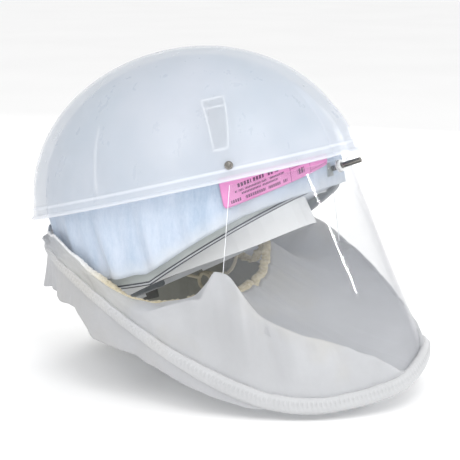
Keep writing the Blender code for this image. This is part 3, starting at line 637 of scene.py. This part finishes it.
def cap_surface():
    """Rings of points from the crown down outside, round the rim and up inside, closer at the prow."""
    even = np.arange(0, 360, 2.5)
    close = np.concatenate([np.arange(1, 9.5, 0.6), 360 - np.arange(1, 9.5, 0.6)])
    t = np.radians(np.unique(np.concatenate([even, close])))
    a, b, c = CAP
    rows = []
    for inset, sign in ((0.0, 1), (CAP_WALL, -1)):
        q = np.radians(np.concatenate([np.linspace(89.3, 20, 30), np.linspace(17.5, 6, 6)]))
        part = [((a - inset) * np.cos(k), (b - inset) * np.cos(k), (c - inset) * np.sin(k)) for k in q]
        rows.append(part if sign > 0 else part[::-1])
    middle = [(a + out, b + out, z) for z, out in CAP_RIM]
    p = []
    for ra, rb, z in rows[0] + middle + rows[1]:
        x, y = rb * np.sin(t), -ra * np.cos(t)
        p.append(np.stack([x, prow(x, y, z), np.full_like(t, z)], -1))
    return np.array(p).transpose(1, 0, 2)


def make_cap():
    """The translucent outer shell, with a leaf and a rib inside each wall."""
    p = cap_surface()
    uv = np.stack([np.zeros(p.shape[:2]), p[..., 2] * MM], -1)
    p[..., 2] += 0.35 * field(p, 60.0, 3.0) * smoothstep(p[..., 2] / 20.0)
    cap = grid("cap_skin", p, wrap_u=True, uv=uv)
    close_poles(cap)
    paint(cap, cap_plastic())
    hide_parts("cap_shell")
    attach(cap, "cap")
    for side, sign in (("right", -1), ("left", 1)):
        make_leaf(side, sign)
        make_rib(side, sign)


def inner_cap(deg, q, inset):
    """A point under the cap's wall: deg from the front towards +X, q up from the rim."""
    t, q = np.radians(deg), np.radians(q)
    a, b, c = (value - inset for value in CAP)
    return np.stack([b * np.cos(q) * np.sin(t), -a * np.cos(q) * np.cos(t), c * np.sin(q)], -1)


def make_leaf(side, sign):
    """The clip's tapered leaf, from its narrow foot (v 0) up, with thick edges and a crossbar."""
    u, v = np.meshgrid(np.linspace(-1, 1, 25), np.linspace(0, 1, 49), indexing="ij")
    half_width = 2.7 + 2.6 * v
    deg = sign * (51 - 4 * v + u * half_width)
    q = 12.5 + 23.5 * v
    sides, crossbar = bump(np.abs(u), 0.93, 0.10), bump(v, 0.80, 0.02)
    foot, top = bump(v, 0.01, 0.04), bump(v, 0.99, 0.04)
    edge = np.max([sides, crossbar, foot, top], axis=0)
    uv = np.stack([edge, v], -1)
    leaf = grid(f"cap_leaf_{side}", inner_cap(deg, q, 3.0 + 0.9 * (1 - edge)), uv=uv)
    thicken(leaf, "leaf")
    paint(leaf, leaf_plastic())
    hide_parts(f"cap_clip_{side}")
    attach(leaf, "cap")


def make_rib(side, sign):
    """An upright rib moulded on the inside of the cap's wall."""
    q = np.linspace(5, 34, 40)
    u = np.linspace(0, 2 * np.pi, 10, endpoint=False)[:, None]
    taper = np.minimum(1, np.minimum(q - 4.2, 34.6 - q) / 3)[None, :]
    deg = sign * (97.5 + 0.55 * np.cos(u) * taper)
    p = inner_cap(deg, q[None, :] + 0 * deg, 3.2 + 1.1 * (np.sin(u) * taper))
    rib = grid(f"cap_rib_{side}", p, wrap_u=True)
    close_poles(rib)
    paint(rib, rib_plastic())
    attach(rib, "cap")


def close_poles(obj):
    """Fills the small holes that a grid leaves at its ends."""
    bm = bmesh.new()
    bm.from_mesh(obj.data)
    bmesh.ops.holes_fill(bm, edges=[e for e in bm.edges if e.is_boundary], sides=0)
    bmesh.ops.recalc_face_normals(bm, faces=bm.faces)
    bm.to_mesh(obj.data)
    bm.free()
    obj.data.shade_smooth()


# ------------------------------------------------------------ filter


def filter_edge(forward):
    """The height of the filter's lower edge, forward millimetres in front of the middle."""
    share = np.maximum(0.0, forward / FILTER[0])
    return FILTER_HIGH + (FILTER_LOW - FILTER_HIGH) * (1 - np.minimum(1.0, share)) ** 1.7


def make_filter():
    """The soft cloth dome over the base, from its lower edge up to the crown."""
    nu = 260
    t = np.linspace(0, 2 * np.pi, nu, endpoint=False)
    a, b, c = FILTER
    low = filter_edge(a * np.cos(t)) - 3.5
    rows = []
    for share in np.linspace(1, 0, 17)[:-1]:
        z = low * share
        narrow = 1 - SKIRT_TAPER * z / FILTER_LOW
        rows.append(np.stack([b * narrow * np.sin(t), -a * narrow * np.cos(t), z], -1))
    for q in np.radians(np.linspace(0, 89.2, 24)):
        x, y = b * np.cos(q) * np.sin(t), -a * np.cos(q) * np.cos(t)
        rows.append(np.stack([x, y, np.full(nu, c * np.sin(q))], -1))
    p = np.array(rows).transpose(1, 0, 2)
    deg = np.degrees(t)[:, None]
    z = p[..., 2]
    hang = smoothstep((18 - z) / 60)
    # soft upright folds: broad ones from slack, fine ones from the drawn hem
    folds = 1.9 * np.sin(np.radians(deg * 17 + 40 * np.sin(np.radians(deg * 3 + z))))
    folds += 1.1 * np.sin(np.radians(deg * 41 + 60 * np.sin(np.radians(deg * 5))))
    drum = np.broadcast_arrays(np.cos(t)[:, None] * 9, np.sin(t)[:, None] * 9, z / 70)
    folds += 1.6 * field(np.stack(drum, -1), 1.0, 2.0)
    out = p * np.array([1, 1, 0])
    out /= np.linalg.norm(out, axis=-1, keepdims=True)
    p = p + out * (folds * hang)[..., None]
    ripple = 0.9 * np.sin(np.radians(deg * 11)) + 0.8 * np.sin(np.radians(deg * 23 + 50))
    p[..., 2] += ripple * smoothstep((-30 - z) / 30)
    # the hem is drawn up a little at the near side
    p[..., 2] += 7 * bump(side_of(deg), -104, 20) * smoothstep((-25 - z) / 30)
    height = p[..., 2] - p[:, :1, 2]
    uv = np.stack(np.broadcast_arrays(t[:, None] * TURN_SPAN, height * MM), -1)
    cloth = grid("filter_cloth", p, wrap_u=True, uv=uv)
    close_poles(cloth)
    thicken(cloth, "filter", -1)
    paint(cloth, nonwoven())
    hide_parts("filter_bonnet", "filter_hem")
    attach(cloth, "helmet")


# the section of the base's rolled edge: each point's place outward and up
EDGE_PROFILE = (
    (0.15, 0.0), (0.25, -0.35), (0.1, -0.7), (0.45, -1.0), (0.6, -1.5), (0.45, -2.0), (0.1, -2.3),
    (0.25, -2.65), (0.1, -3.0), (-1.4, -3.1), (-2.9, -3.0), (-3.0, -1.5), (-2.9, 0.0),
)


def make_edge_lines():
    """The rolled lower edge of the base: a pale lip between two fine dark lines."""
    t = np.linspace(0, 2 * np.pi, 300, endpoint=False)
    low = BASE_LOW + (BASE_HIGH - BASE_LOW) * np.clip(np.cos(t), 0, 1) - 0.3
    narrow = 1 - SKIRT_TAPER * low / FILTER_LOW
    out, rise = np.array(EDGE_PROFILE).T
    x = (BASE_B + out) * (narrow * np.sin(t))[:, None]
    y = -(BASE_A + out) * (narrow * np.cos(t))[:, None]
    p = np.stack([x, y, low[:, None] + rise], -1)
    level = np.where(out > -1, -rise / 3.1, 0.5)
    uv = np.stack(np.broadcast_arrays(t[:, None] * TURN_SPAN, level[None, :]), -1)
    lines = grid("base_edge_lines", p, True, True, uv)
    paint(lines, edge_plastic())
    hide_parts("base_edge_trim")
    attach(lines, "helmet")


def make_label():
    """A pink label stuck to the filter, whose lower edge climbs towards the front."""
    nu, nv = 90, 18
    a, b = FILTER[:2]
    rear, front, corner_radius = -54.3, -5.0, 3.0
    deg = np.linspace(rear, front, nu)
    t = np.radians(deg)
    low = -5.5 + (deg + 6.7) * 0.33
    top = 4.0
    run = (deg - rear) * 2.0
    from_end = np.minimum(run, run[-1] - run)
    rounded = np.clip(corner_radius - from_end, 0, corner_radius)
    corner = corner_radius - np.sqrt(corner_radius**2 - rounded**2)
    p = np.zeros((nu, nv, 3))
    uv = np.zeros((nu, nv, 2))
    for j, share in enumerate(np.linspace(0, 1, nv)):
        z = low + corner + (top - low - corner) * share
        narrow = 1 - SKIRT_TAPER * np.minimum(z, 0) / FILTER_LOW
        out = 2.1 + 0.2 * np.sin(np.radians(deg * 13))
        p[:, j] = np.stack([(b * narrow + out) * np.sin(t), -(a * narrow + out) * np.cos(t), z], -1)
        uv[:, j, 0] = run * MM
        uv[:, j, 1] = (z - low) * MM
    label = grid("label_sheet", p, uv=uv)
    thicken(label, "label", 1)
    paint(label, label_print())
    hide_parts("filter_label")
    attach(label, "helmet")


# ------------------------------------------------------------ cuff


def ring_line(deg):
    """The middle of the cuff's rolled edge: low in front, high behind, sagging at the near front."""
    t = np.radians(deg)
    forward = RING_MIDDLE + RING_A * np.cos(t)
    back = RING_MIDDLE - RING_A
    z = RING_HIGH - RING_FALL * smoothstep((forward - back) / (RING_TIP - back))
    z = z + 4 * (np.maximum(0, forward - RING_TIP) / 40) ** 2
    side = side_of(deg)
    z = z - RING_DROOP * bump(side, -14, 27) - 0.5 * RING_DROOP * bump(side, -50, 24)
    return np.stack([RING_B * np.sin(t), -forward, z], -1)


def drawn_in(deg):
    """The ring's line as the cloth has it, drawn in a little behind, and its outward direction."""
    line, out = ring_line(deg), ring_out(deg)
    behind = smoothstep((line[..., 1:2] - 20) / 120)
    return line - out * RING_INSET * behind, out


def ring_out(deg):
    """The level direction straight out from the ring."""
    t = np.radians(deg)
    v = np.stack([np.sin(t) / RING_B, -np.cos(t) / RING_A, np.zeros_like(t)], -1)
    return v / np.linalg.norm(v, axis=-1, keepdims=True)


def neck_line(deg):
    """The edge of the neck opening."""
    t = np.radians(deg)
    t = t - np.radians(20) * np.sin(t)
    forward = NECK_MIDDLE + NECK_A * np.cos(t)
    z = NECK_HIGH - NECK_FALL * smoothstep((forward + 110) / 110)
    return np.stack([NECK_B * np.sin(t), -forward, z], -1)


def arc_angles(line, count):
    """Angles that divide a closed line evenly, the length run at each, and the whole length."""
    deg = np.linspace(0, 360, 1441)
    p = line(deg)
    run = np.concatenate([[0], np.cumsum(np.linalg.norm(np.diff(p, axis=0), axis=1))])
    at = np.linspace(0, run[-1], count, endpoint=False)
    return np.interp(at, run, deg), at, run[-1]


STITCH = 3.6  # from one stitch to the next
ROLL_HALF, ROLL_RISE = 4.2, 6.4  # half the rolled edge's thickness and height


def make_ring():
    """The rolled, overlocked edge of the cuff, with a row of raised stitches round it."""
    deg, at, total = arc_angles(ring_line, 2900)
    line, out = drawn_in(deg)
    along = np.roll(line, -1, 0) - np.roll(line, 1, 0)
    along /= np.linalg.norm(along, axis=1, keepdims=True)
    up = np.cross(along, out)
    up *= np.sign(up[:, 2:3])
    phi = np.linspace(0, 2 * np.pi, 22, endpoint=False)
    stitch = total / round(total / STITCH)
    wobble = field(line, 34.0, 1.0)[:, None] + 0.5 * field(line, 11.0, 6.0)[:, None]
    # thinner where it runs up behind the head
    slim = 1 - 0.35 * smoothstep((np.abs(side_of(deg)) - 70) / 35)[:, None]
    x = ROLL_HALF * slim * np.cos(phi)[None, :]
    y = ROLL_RISE * slim * np.sin(phi)[None, :]
    outer = smoothstep(np.cos(phi) * 2 + 0.4)[None, :]
    seam = bump(y, 2.2, 1.1) * outer
    turn = 2 * np.pi * at[:, None] / stitch
    beads = np.maximum(0, np.sin(turn)) ** 0.6
    ribs = np.sin(turn + 0.9 * y)
    fold = bump(y, -1.6, 0.9) * outer
    radial = 1.6 * seam * (beads - 0.6) + 0.22 * ribs * (1 - seam) * outer - 0.5 * fold
    swell = 1 + 0.07 * wobble
    p = line[:, None, :] + out[:, None, :] * ((x + radial * np.cos(phi)[None, :]) * swell)[..., None]
    p = p + up[:, None, :] * (y * swell + 0.7 * wobble)[..., None]
    uv = np.stack(np.broadcast_arrays(at[:, None], (phi * 5)[None, :]), -1) * MM
    ring = grid("cuff_edge", p, True, True, uv)
    paint(ring, knit("edge_knit", rgb(180, 181, 183), 75, rgb(176, 170, 156), depth=0.2))
    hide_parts("cuff_ring_front", "cuff_ring_rear")
    bend(ring)
    return ring


def bend(piece):
    """Bakes the piece's placement into its mesh."""
    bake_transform(piece)


# degrees from the front, and how far up the lens the cloth reaches there, on each side
WALL_RIGHT = (
    (0, 0), (10, 6), (20, 28), (30, 42), (42, 53), (51, 59),
    (60, 65), (66, 68), (73, 64), (80, 57), (100, 40),
)
WALL_LEFT = (
    (0, 0), (10, 2), (24, 18), (42, 40), (51, 58),
    (66, 74), (80, 77), (88, 75), (98, 64), (112, 38),
)
KNEE = 0.42  # the share of the cloth's width at which it turns in over the lens


def lens_edge(side):
    """The line that the lens's lower edge would reach on the ring, and the line along its top."""
    low = ring_line(side) - ring_out(side)
    t = np.radians(LENS_TOP_TURN * side / LENS_TURN)
    top = np.stack([LENS_B * np.sin(t), -LENS_A * np.cos(t), np.full_like(t, LENS_TOP)], -1)
    return low, top


def wall_height(side):
    """How far up the lens the cloth reaches."""
    right = np.interp(-side, *zip(*WALL_RIGHT))
    # one fold stands up like a thumb
    right = right + 24 * smoothstep((-side - 60) / 12) * smoothstep((side + 80) / 5)
    return np.where(side < 0, right, np.interp(side, *zip(*WALL_LEFT)))


def cuff_surface(deg, v):
    """The cloth from the ring (v 0), up outside the lens, then in to the neck opening (v 1)."""
    side = side_of(deg)
    start = ring_line(deg) - ring_out(deg) * 1.5
    neck = neck_line(deg)
    low, top = lens_edge(side)
    climb = (top - low) / np.linalg.norm(top - low, axis=1, keepdims=True)
    wall = low + climb * wall_height(side)[:, None] + ring_out(deg) * 2.6
    straight = start + (neck - start) * KNEE
    walled = (1 - smoothstep((np.where(side < 0, -side, side - 14) - 79) / 22))[:, None]
    wall = straight + (wall - straight) * walled
    d, s = np.meshgrid(side, v, indexing="ij")
    up = np.clip(s / KNEE, 0, 1)[..., None]
    over = np.clip((s - KNEE) / (1 - KNEE), 0, 1)[..., None]
    p = start[:, None] + (wall - start)[:, None] * up + (neck - wall)[:, None] * over
    inside = over[..., 0]
    # it sags between the wall and the neck
    p[..., 2] -= 9 * np.sin(np.pi * inside) * walled
    # the neck edge: high on the left, a little raised on the right, close to the head behind
    p[..., 2] += 30 * bump(d, 52, 34) * inside**1.5
    p[..., 2] += 10 * bump(d, -92, 32) * smoothstep((s - 0.35) / 0.65)
    hug = bump(d, -145, 24) * smoothstep((s - 0.2) / 0.8)
    p[..., 2] -= 10.5 * hug
    p = p - ring_out(d) * (6 * hug)[..., None]
    # the thumb's fold runs on in to the neck
    crest = 24 * inside - 60
    wide = 24 - 10 * inside
    thumb = smoothstep((d - crest + wide) / wide) * smoothstep((crest + 4 - d) / 8)
    p[..., 2] += thumb * (6 * np.sin(np.pi * inside) + 7 * smoothstep((inside - 0.15) / 0.7))
    # the wall's own folds: a ridge, a dip and a swell beside it, and wrinkles
    out = ring_out(d)
    leaf = np.sin(np.pi * np.clip(s / 0.8, 0, 1)) * np.minimum(1, wall_height(d) / 40)
    ridge = smoothstep((-62 - d) / 4) * smoothstep((d + 108) / 40)
    dip = bump(d, -56 + 18 * (s - 0.15), 5) * bump(s, 0.15, 0.10)
    swell = bump(d, -44, 7) * bump(s, 0.18, 0.10)
    p = p + out * (7.5 * ridge * leaf * smoothstep(s / 0.3) - 4.5 * dip + 2.5 * swell)[..., None]
    slack = field(np.stack([d / 9, s * 2.2, 0 * s], -1), 1.0, 3.0)
    fine = field(np.stack([d / 3.4 + s * 3, s * 4.0, 0 * s], -1), 1.0, 12.0)
    drape = np.sin(np.radians(d * 11 + 60 * s)) * smoothstep((np.abs(d) - 60) / 20)
    wrinkle = (3.4 * slack + 1.2 * fine + 0.9 * drape) * np.minimum(1, np.abs(d) / 25)
    p = p + out * (leaf * wrinkle)[..., None]
    # drawn folds that run in from the elastic, finer near it
    gather = smoothstep((inside - 0.3) / 0.7) ** 2
    loose = 1 - 0.75 * bump(d, -85, 45)
    p[..., 2] += gather * loose * (1.1 * np.sin(np.radians(d * 24)) + 0.7 * np.sin(np.radians(d * 37 + 50)))
    p[..., 2] += np.sin(np.pi * s) * (3.5 * field(p, 52.0, 5.0) + 1.2 * field(p, 19.0, 9.0))
    # twice evened across its width
    for _ in range(2):
        p[:, 1:-1] = (p[:, :-2] + 2 * p[:, 1:-1] + p[:, 2:]) / 4
    return p, d, s


CUFF_ROWS = 56  # from the ring to the neck


def make_funnel():
    """The cuff's cloth."""
    deg = arc_angles(ring_line, 560)[0]
    p, d, s = cuff_surface(deg, np.linspace(0, 1, CUFF_ROWS))
    uv = np.stack([d * ARC, s * 90], -1) * MM
    cloth = grid("cuff_sheet", p, wrap_u=True, uv=uv)
    thicken(cloth, "cuff")
    paint(cloth, knit("cuff_knit", rgb(228, 229, 231), 65, rgb(222, 218, 206), glow=0.62))
    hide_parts("cuff_funnel_front", "cuff_funnel_rear")
    bend(cloth)
    return cloth


def make_elastic():
    """The rolled, gathered edge of the neck opening: a flat beige band in front, a thin seam behind."""
    deg = np.linspace(0, 360, 1100, endpoint=False)
    p = cuff_surface(deg, np.linspace(0, 1, CUFF_ROWS))[0]
    line = p[:, -1]
    front = 1 - smoothstep((np.abs(side_of(deg)) - 96) / 26)
    inward = line - p[:, -5]
    along = np.roll(line, -1, 0) - np.roll(line, 1, 0)
    along /= np.linalg.norm(along, axis=1, keepdims=True)
    inward -= along * np.sum(inward * along, 1, keepdims=True)
    inward /= np.linalg.norm(inward, axis=1, keepdims=True)
    up = np.cross(along, inward)
    phi = np.linspace(0, 2 * np.pi, 14, endpoint=False)
    step = np.linalg.norm(np.roll(line, -1, 0) - line, axis=1)
    at = np.concatenate([[0], np.cumsum(step)[:-1]])
    crimp = np.sin(2 * np.pi * at / 5.2) + 0.6 * np.sin(2 * np.pi * at / 3.7 + 1)
    flat = (1.3 + 2.6 * front) * (1 + 0.06 * crimp)
    thick = 1.0 + 0.6 * front + 0.22 * crimp * front
    width = flat[:, None] * (0.55 + np.cos(phi)[None, :])
    q = line[:, None, :] + inward[:, None, :] * width[..., None]
    q = q + up[:, None, :] * (thick[:, None] * np.sin(phi)[None, :])[..., None]
    uv = np.stack(np.broadcast_arrays(front[:, None] * 0.1, (phi * 0.003)[None, :]), -1)
    roll = grid("neck_gather", q, True, True, uv)
    paint(roll, elastic_cloth())
    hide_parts("neck_elastic_front", "neck_elastic_rear")
    bend(roll)
    return roll


# degrees from the front, and how far the loose edge hangs below the ring there
SKIRT_DEPTHS = (
    (66, 3), (80, 8), (95, 22), (112, 32), (150, 34), (180, 33), (205, 33), (220, 28), (232, 28), (241, 21),
    (250, 31), (255, 26), (262, 20), (274, 16), (284, 12), (294, 9), (302, 3),
)


def hanging_cloth(name, deg, depth, rows, out_by, fold_by, seed):
    """Cloth that hangs straight down from the ring, with folds that grow towards its lower edge."""
    d, s = np.meshgrid(deg, np.linspace(0, 1, rows), indexing="ij")
    line, out = drawn_in(d)
    down = np.array([0, math.sin(HELMET_PITCH), -math.cos(HELMET_PITCH)])
    p = line - np.array([0, 0, 2.0]) + down * (depth[:, None] * s)[..., None]
    waves = 2.0 * np.sin(np.radians(d * 9 + 30)) + 1.3 * np.sin(np.radians(d * 16 + 20 * seed))
    waves += 3.2 * field(np.stack([d / 8, s * 0.7, 0 * s + seed], -1), 1.0, 4.0)
    waves += 1.6 * field(np.stack([d / 3.2, s * 1.4, 0 * s + seed], -1), 1.0, 8.0)
    loose = np.minimum(1.0, depth[:, None] / 26)
    p = p + out * (out_by * s + fold_by * loose * s**0.9 * waves)[..., None]
    p[..., 2] += 1.4 * s * field(p, 24.0, 8.0 + seed)
    uv = np.stack([d * ARC, s * depth[:, None]], -1) * MM
    return thicken(grid(name, p, uv=uv), "loose")


def make_skirt():
    """The loose edge behind the ring."""
    deg = np.linspace(66, 302, 520)
    depth = np.interp(deg, *zip(*SKIRT_DEPTHS))
    cloth = hanging_cloth("skirt_sheet", deg, depth, 26, 1.0, 1.0, 0.0)
    paint(cloth, knit("skirt_knit", rgb(184, 185, 188), 65, rgb(178, 175, 168), glow=0.2))
    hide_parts("cuff_skirt")
    bend(cloth)


def make_lining():
    """An inner layer that hangs behind the neck, on the wearer's left, knit in a dark olive grey that paints
    the shade inside the cuff.
    """
    deg = np.linspace(92, 200, 260)
    line = ring_line(deg)
    hem = -112 + 54 * smoothstep((deg - 150) / 50)
    depth = np.maximum(4.0, (line[:, 2] - hem) * smoothstep((deg - 90) / 12) * 0.99)
    cloth = hanging_cloth("cuff_lining", deg, depth, 30, -9.0, 1.2, 3.0)
    # painted shade: the lining's dark olive colour stands for the shade inside the cuff
    paint(cloth, knit("lining_knit_painted_shade", rgb(150, 150, 141), 65, rgb(132, 128, 112), depth=0.35))
    bend(cloth)


# ------------------------------------------------------------ lens


LENS_TUCK = 13  # how far the lens goes down inside the cloth
GLOW_ROD_RADIUS = 0.55


def make_lens():
    """The clear sheet, whose lower edge is tucked inside the cloth, with glowing cut edges and a thin
    glowing rod down each end, both painted highlights.
    """
    nu, nv = 120, 34
    share = np.linspace(-1, 1, nu)
    side = LENS_TURN * share
    low, top = lens_edge(side)
    drop = low - top
    length = np.linalg.norm(drop, axis=1)
    tucked = np.maximum(wall_height(side) - LENS_TUCK, 5)
    low = top + drop * (1 - tucked / length)[:, None]
    s = np.linspace(0, 1, nv)
    p = top[:, None, :] + (low - top)[:, None, :] * s[None, :, None]
    out = ring_out(side)
    uv = np.stack(np.broadcast_arrays(share[:, None] * TURN_SPAN, s[None, :] * 0.16), -1)
    lens = grid("lens_sheet", p, uv=uv)
    cut_disc(lens, POST_AT, POST_HOLE)
    thicken(lens, "lens")
    paint(lens, clear_film())
    # the second material, for the cut edges and the rods, glows as a painted highlight
    lens.data.materials.append(film_edge_glow())
    lens.modifiers["thickness"].material_offset_rim = 1
    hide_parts("lens")
    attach(lens, "lens_cuff")
    # a thin rod down each end in the glowing material: a painted highlight of the edge
    phi = np.linspace(0, 2 * np.pi, 8, endpoint=False)
    for name, column in (("lens_edge_glow_right", 0), ("lens_edge_glow_left", nu - 1)):
        line = p[column]
        ring = out[column] * np.cos(phi)[:, None] + np.array([0, 0, 1]) * np.sin(phi)[:, None]
        glow_rod = grid(name, line[:, None, :] + ring[None, :, :] * GLOW_ROD_RADIUS, wrap_v=True)
        paint(glow_rod, lens.data.materials[1])
        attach(glow_rod, "lens_cuff")


def cut_disc(obj, centre, radius):
    """Opens a round hole where the post goes through the sheet."""
    at = Vector(to_row([centre])[0])
    bm = bmesh.new()
    bm.from_mesh(obj.data)
    near = [f for f in bm.faces if (f.calc_center_median() - at).length < 14 * MM]
    bmesh.ops.subdivide_edges(bm, edges=list({e for f in near for e in f.edges}), cuts=5, use_grid_fill=True)
    gone = [f for f in bm.faces if (f.calc_center_median() - at).length < radius * MM]
    bmesh.ops.delete(bm, geom=gone, context="FACES")
    rim = {v for e in bm.edges if e.is_boundary for v in e.verts if (v.co - at).length < radius * MM * 1.6}
    for v in rim:
        v.co = at + (v.co - at).normalized() * radius * MM
    bm.to_mesh(obj.data)
    bm.free()
    obj.data.shade_smooth()


# ------------------------------------------------------------ the CAD pieces that stay, and the pads


def finish_cad():
    """Materials for the CAD solids that nothing replaces."""
    by_slot = {
        "white_plastic": moulded("white_plastic", rgb(225, 226, 226), 0.42),
        "grey_plastic": moulded("grey_plastic", rgb(158, 163, 162), 0.5),
        "dark_plastic": moulded("dark_plastic", rgb(92, 92, 88), 0.5),
        "steel": steel(),
        "lead_jacket": moulded("lead_jacket", rgb(190, 182, 160), 0.6),
        "circuit_board": board(),
    }
    slots = {s["node"]: s["material_slot"] for s in frame["record"]["subparts"]}
    for name, obj in NODES.items():
        mat = by_slot.get(slots[name])
        if mat is None or obj.hide_render:
            continue
        obj.data.materials.clear()
        obj.data.materials.append(mat)


PAD_FRAMES, PAD_PRESSURE = 20, 4.0


def make_pad(node, voxel, swell):
    """A foam piece as a soft cover that cloth simulation blows up, by swell at most, from its solid."""
    source = NODES[node]
    pad = link(bpy.data.objects.new(node + "_cover", source.data.copy()))
    pad.matrix_world = source.matrix_world.copy()
    bm = bmesh.new()
    bm.from_mesh(pad.data)
    bm.transform(pad.matrix_world)
    bm.to_mesh(pad.data)
    bm.free()
    pad.matrix_world = Matrix.Identity(4)
    even = pad.modifiers.new("even", "REMESH")
    even.mode = "VOXEL"
    even.voxel_size = voxel * MM
    apply_all(pad)
    rest = vertex_array(pad.data)
    cloth = pad.modifiers.new("cloth", "CLOTH")
    cloth.settings.quality = 5
    cloth.settings.use_pressure = True
    cloth.settings.uniform_pressure_force = PAD_PRESSURE
    cloth.settings.effector_weights.gravity = 0.0
    cloth.point_cache.frame_start = 1
    cloth.point_cache.frame_end = PAD_FRAMES
    for number in range(1, PAD_FRAMES + 1):
        bpy.context.scene.frame_set(number)
    apply_all(pad)
    bpy.context.scene.frame_set(1)
    moved = vertex_array(pad.data) - rest
    reach = np.linalg.norm(moved, axis=1, keepdims=True)
    moved *= np.minimum(1, swell * MM / np.maximum(reach, 1e-9))
    pad.data.vertices.foreach_set("co", (rest + moved).astype(np.float32).ravel())
    pad.data.update()
    smooth = pad.modifiers.new("smooth", "SUBSURF")
    smooth.levels = smooth.render_levels = 1
    apply_all(pad)
    pad.data.shade_smooth()
    paint(pad, foam(node + "_foam", rgb(120, 124, 126)))
    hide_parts(node)
    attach(pad, "helmet")


def apply_all(obj):
    """Turns what the modifiers make into the object's own mesh."""
    bpy.context.view_layer.update()
    made = obj.evaluated_get(bpy.context.evaluated_depsgraph_get())
    mesh = bpy.data.meshes.new_from_object(made)
    obj.modifiers.clear()
    obj.data = mesh


def vertex_array(mesh):
    """The mesh's points, one per row."""
    at = np.empty(len(mesh.vertices) * 3, np.float32)
    mesh.vertices.foreach_get("co", at)
    return at.reshape(-1, 3).astype(float)


stage()
make_cap()
make_filter()
make_edge_lines()
make_label()
edge = make_ring()
funnel = make_funnel()
elastic = make_elastic()
make_skirt()
make_lining()
make_lens()
make_pad("sweatband", voxel=1.6, swell=0.7)
make_pad("nape_pad", voxel=1.8, swell=1.2)
finish_cad()
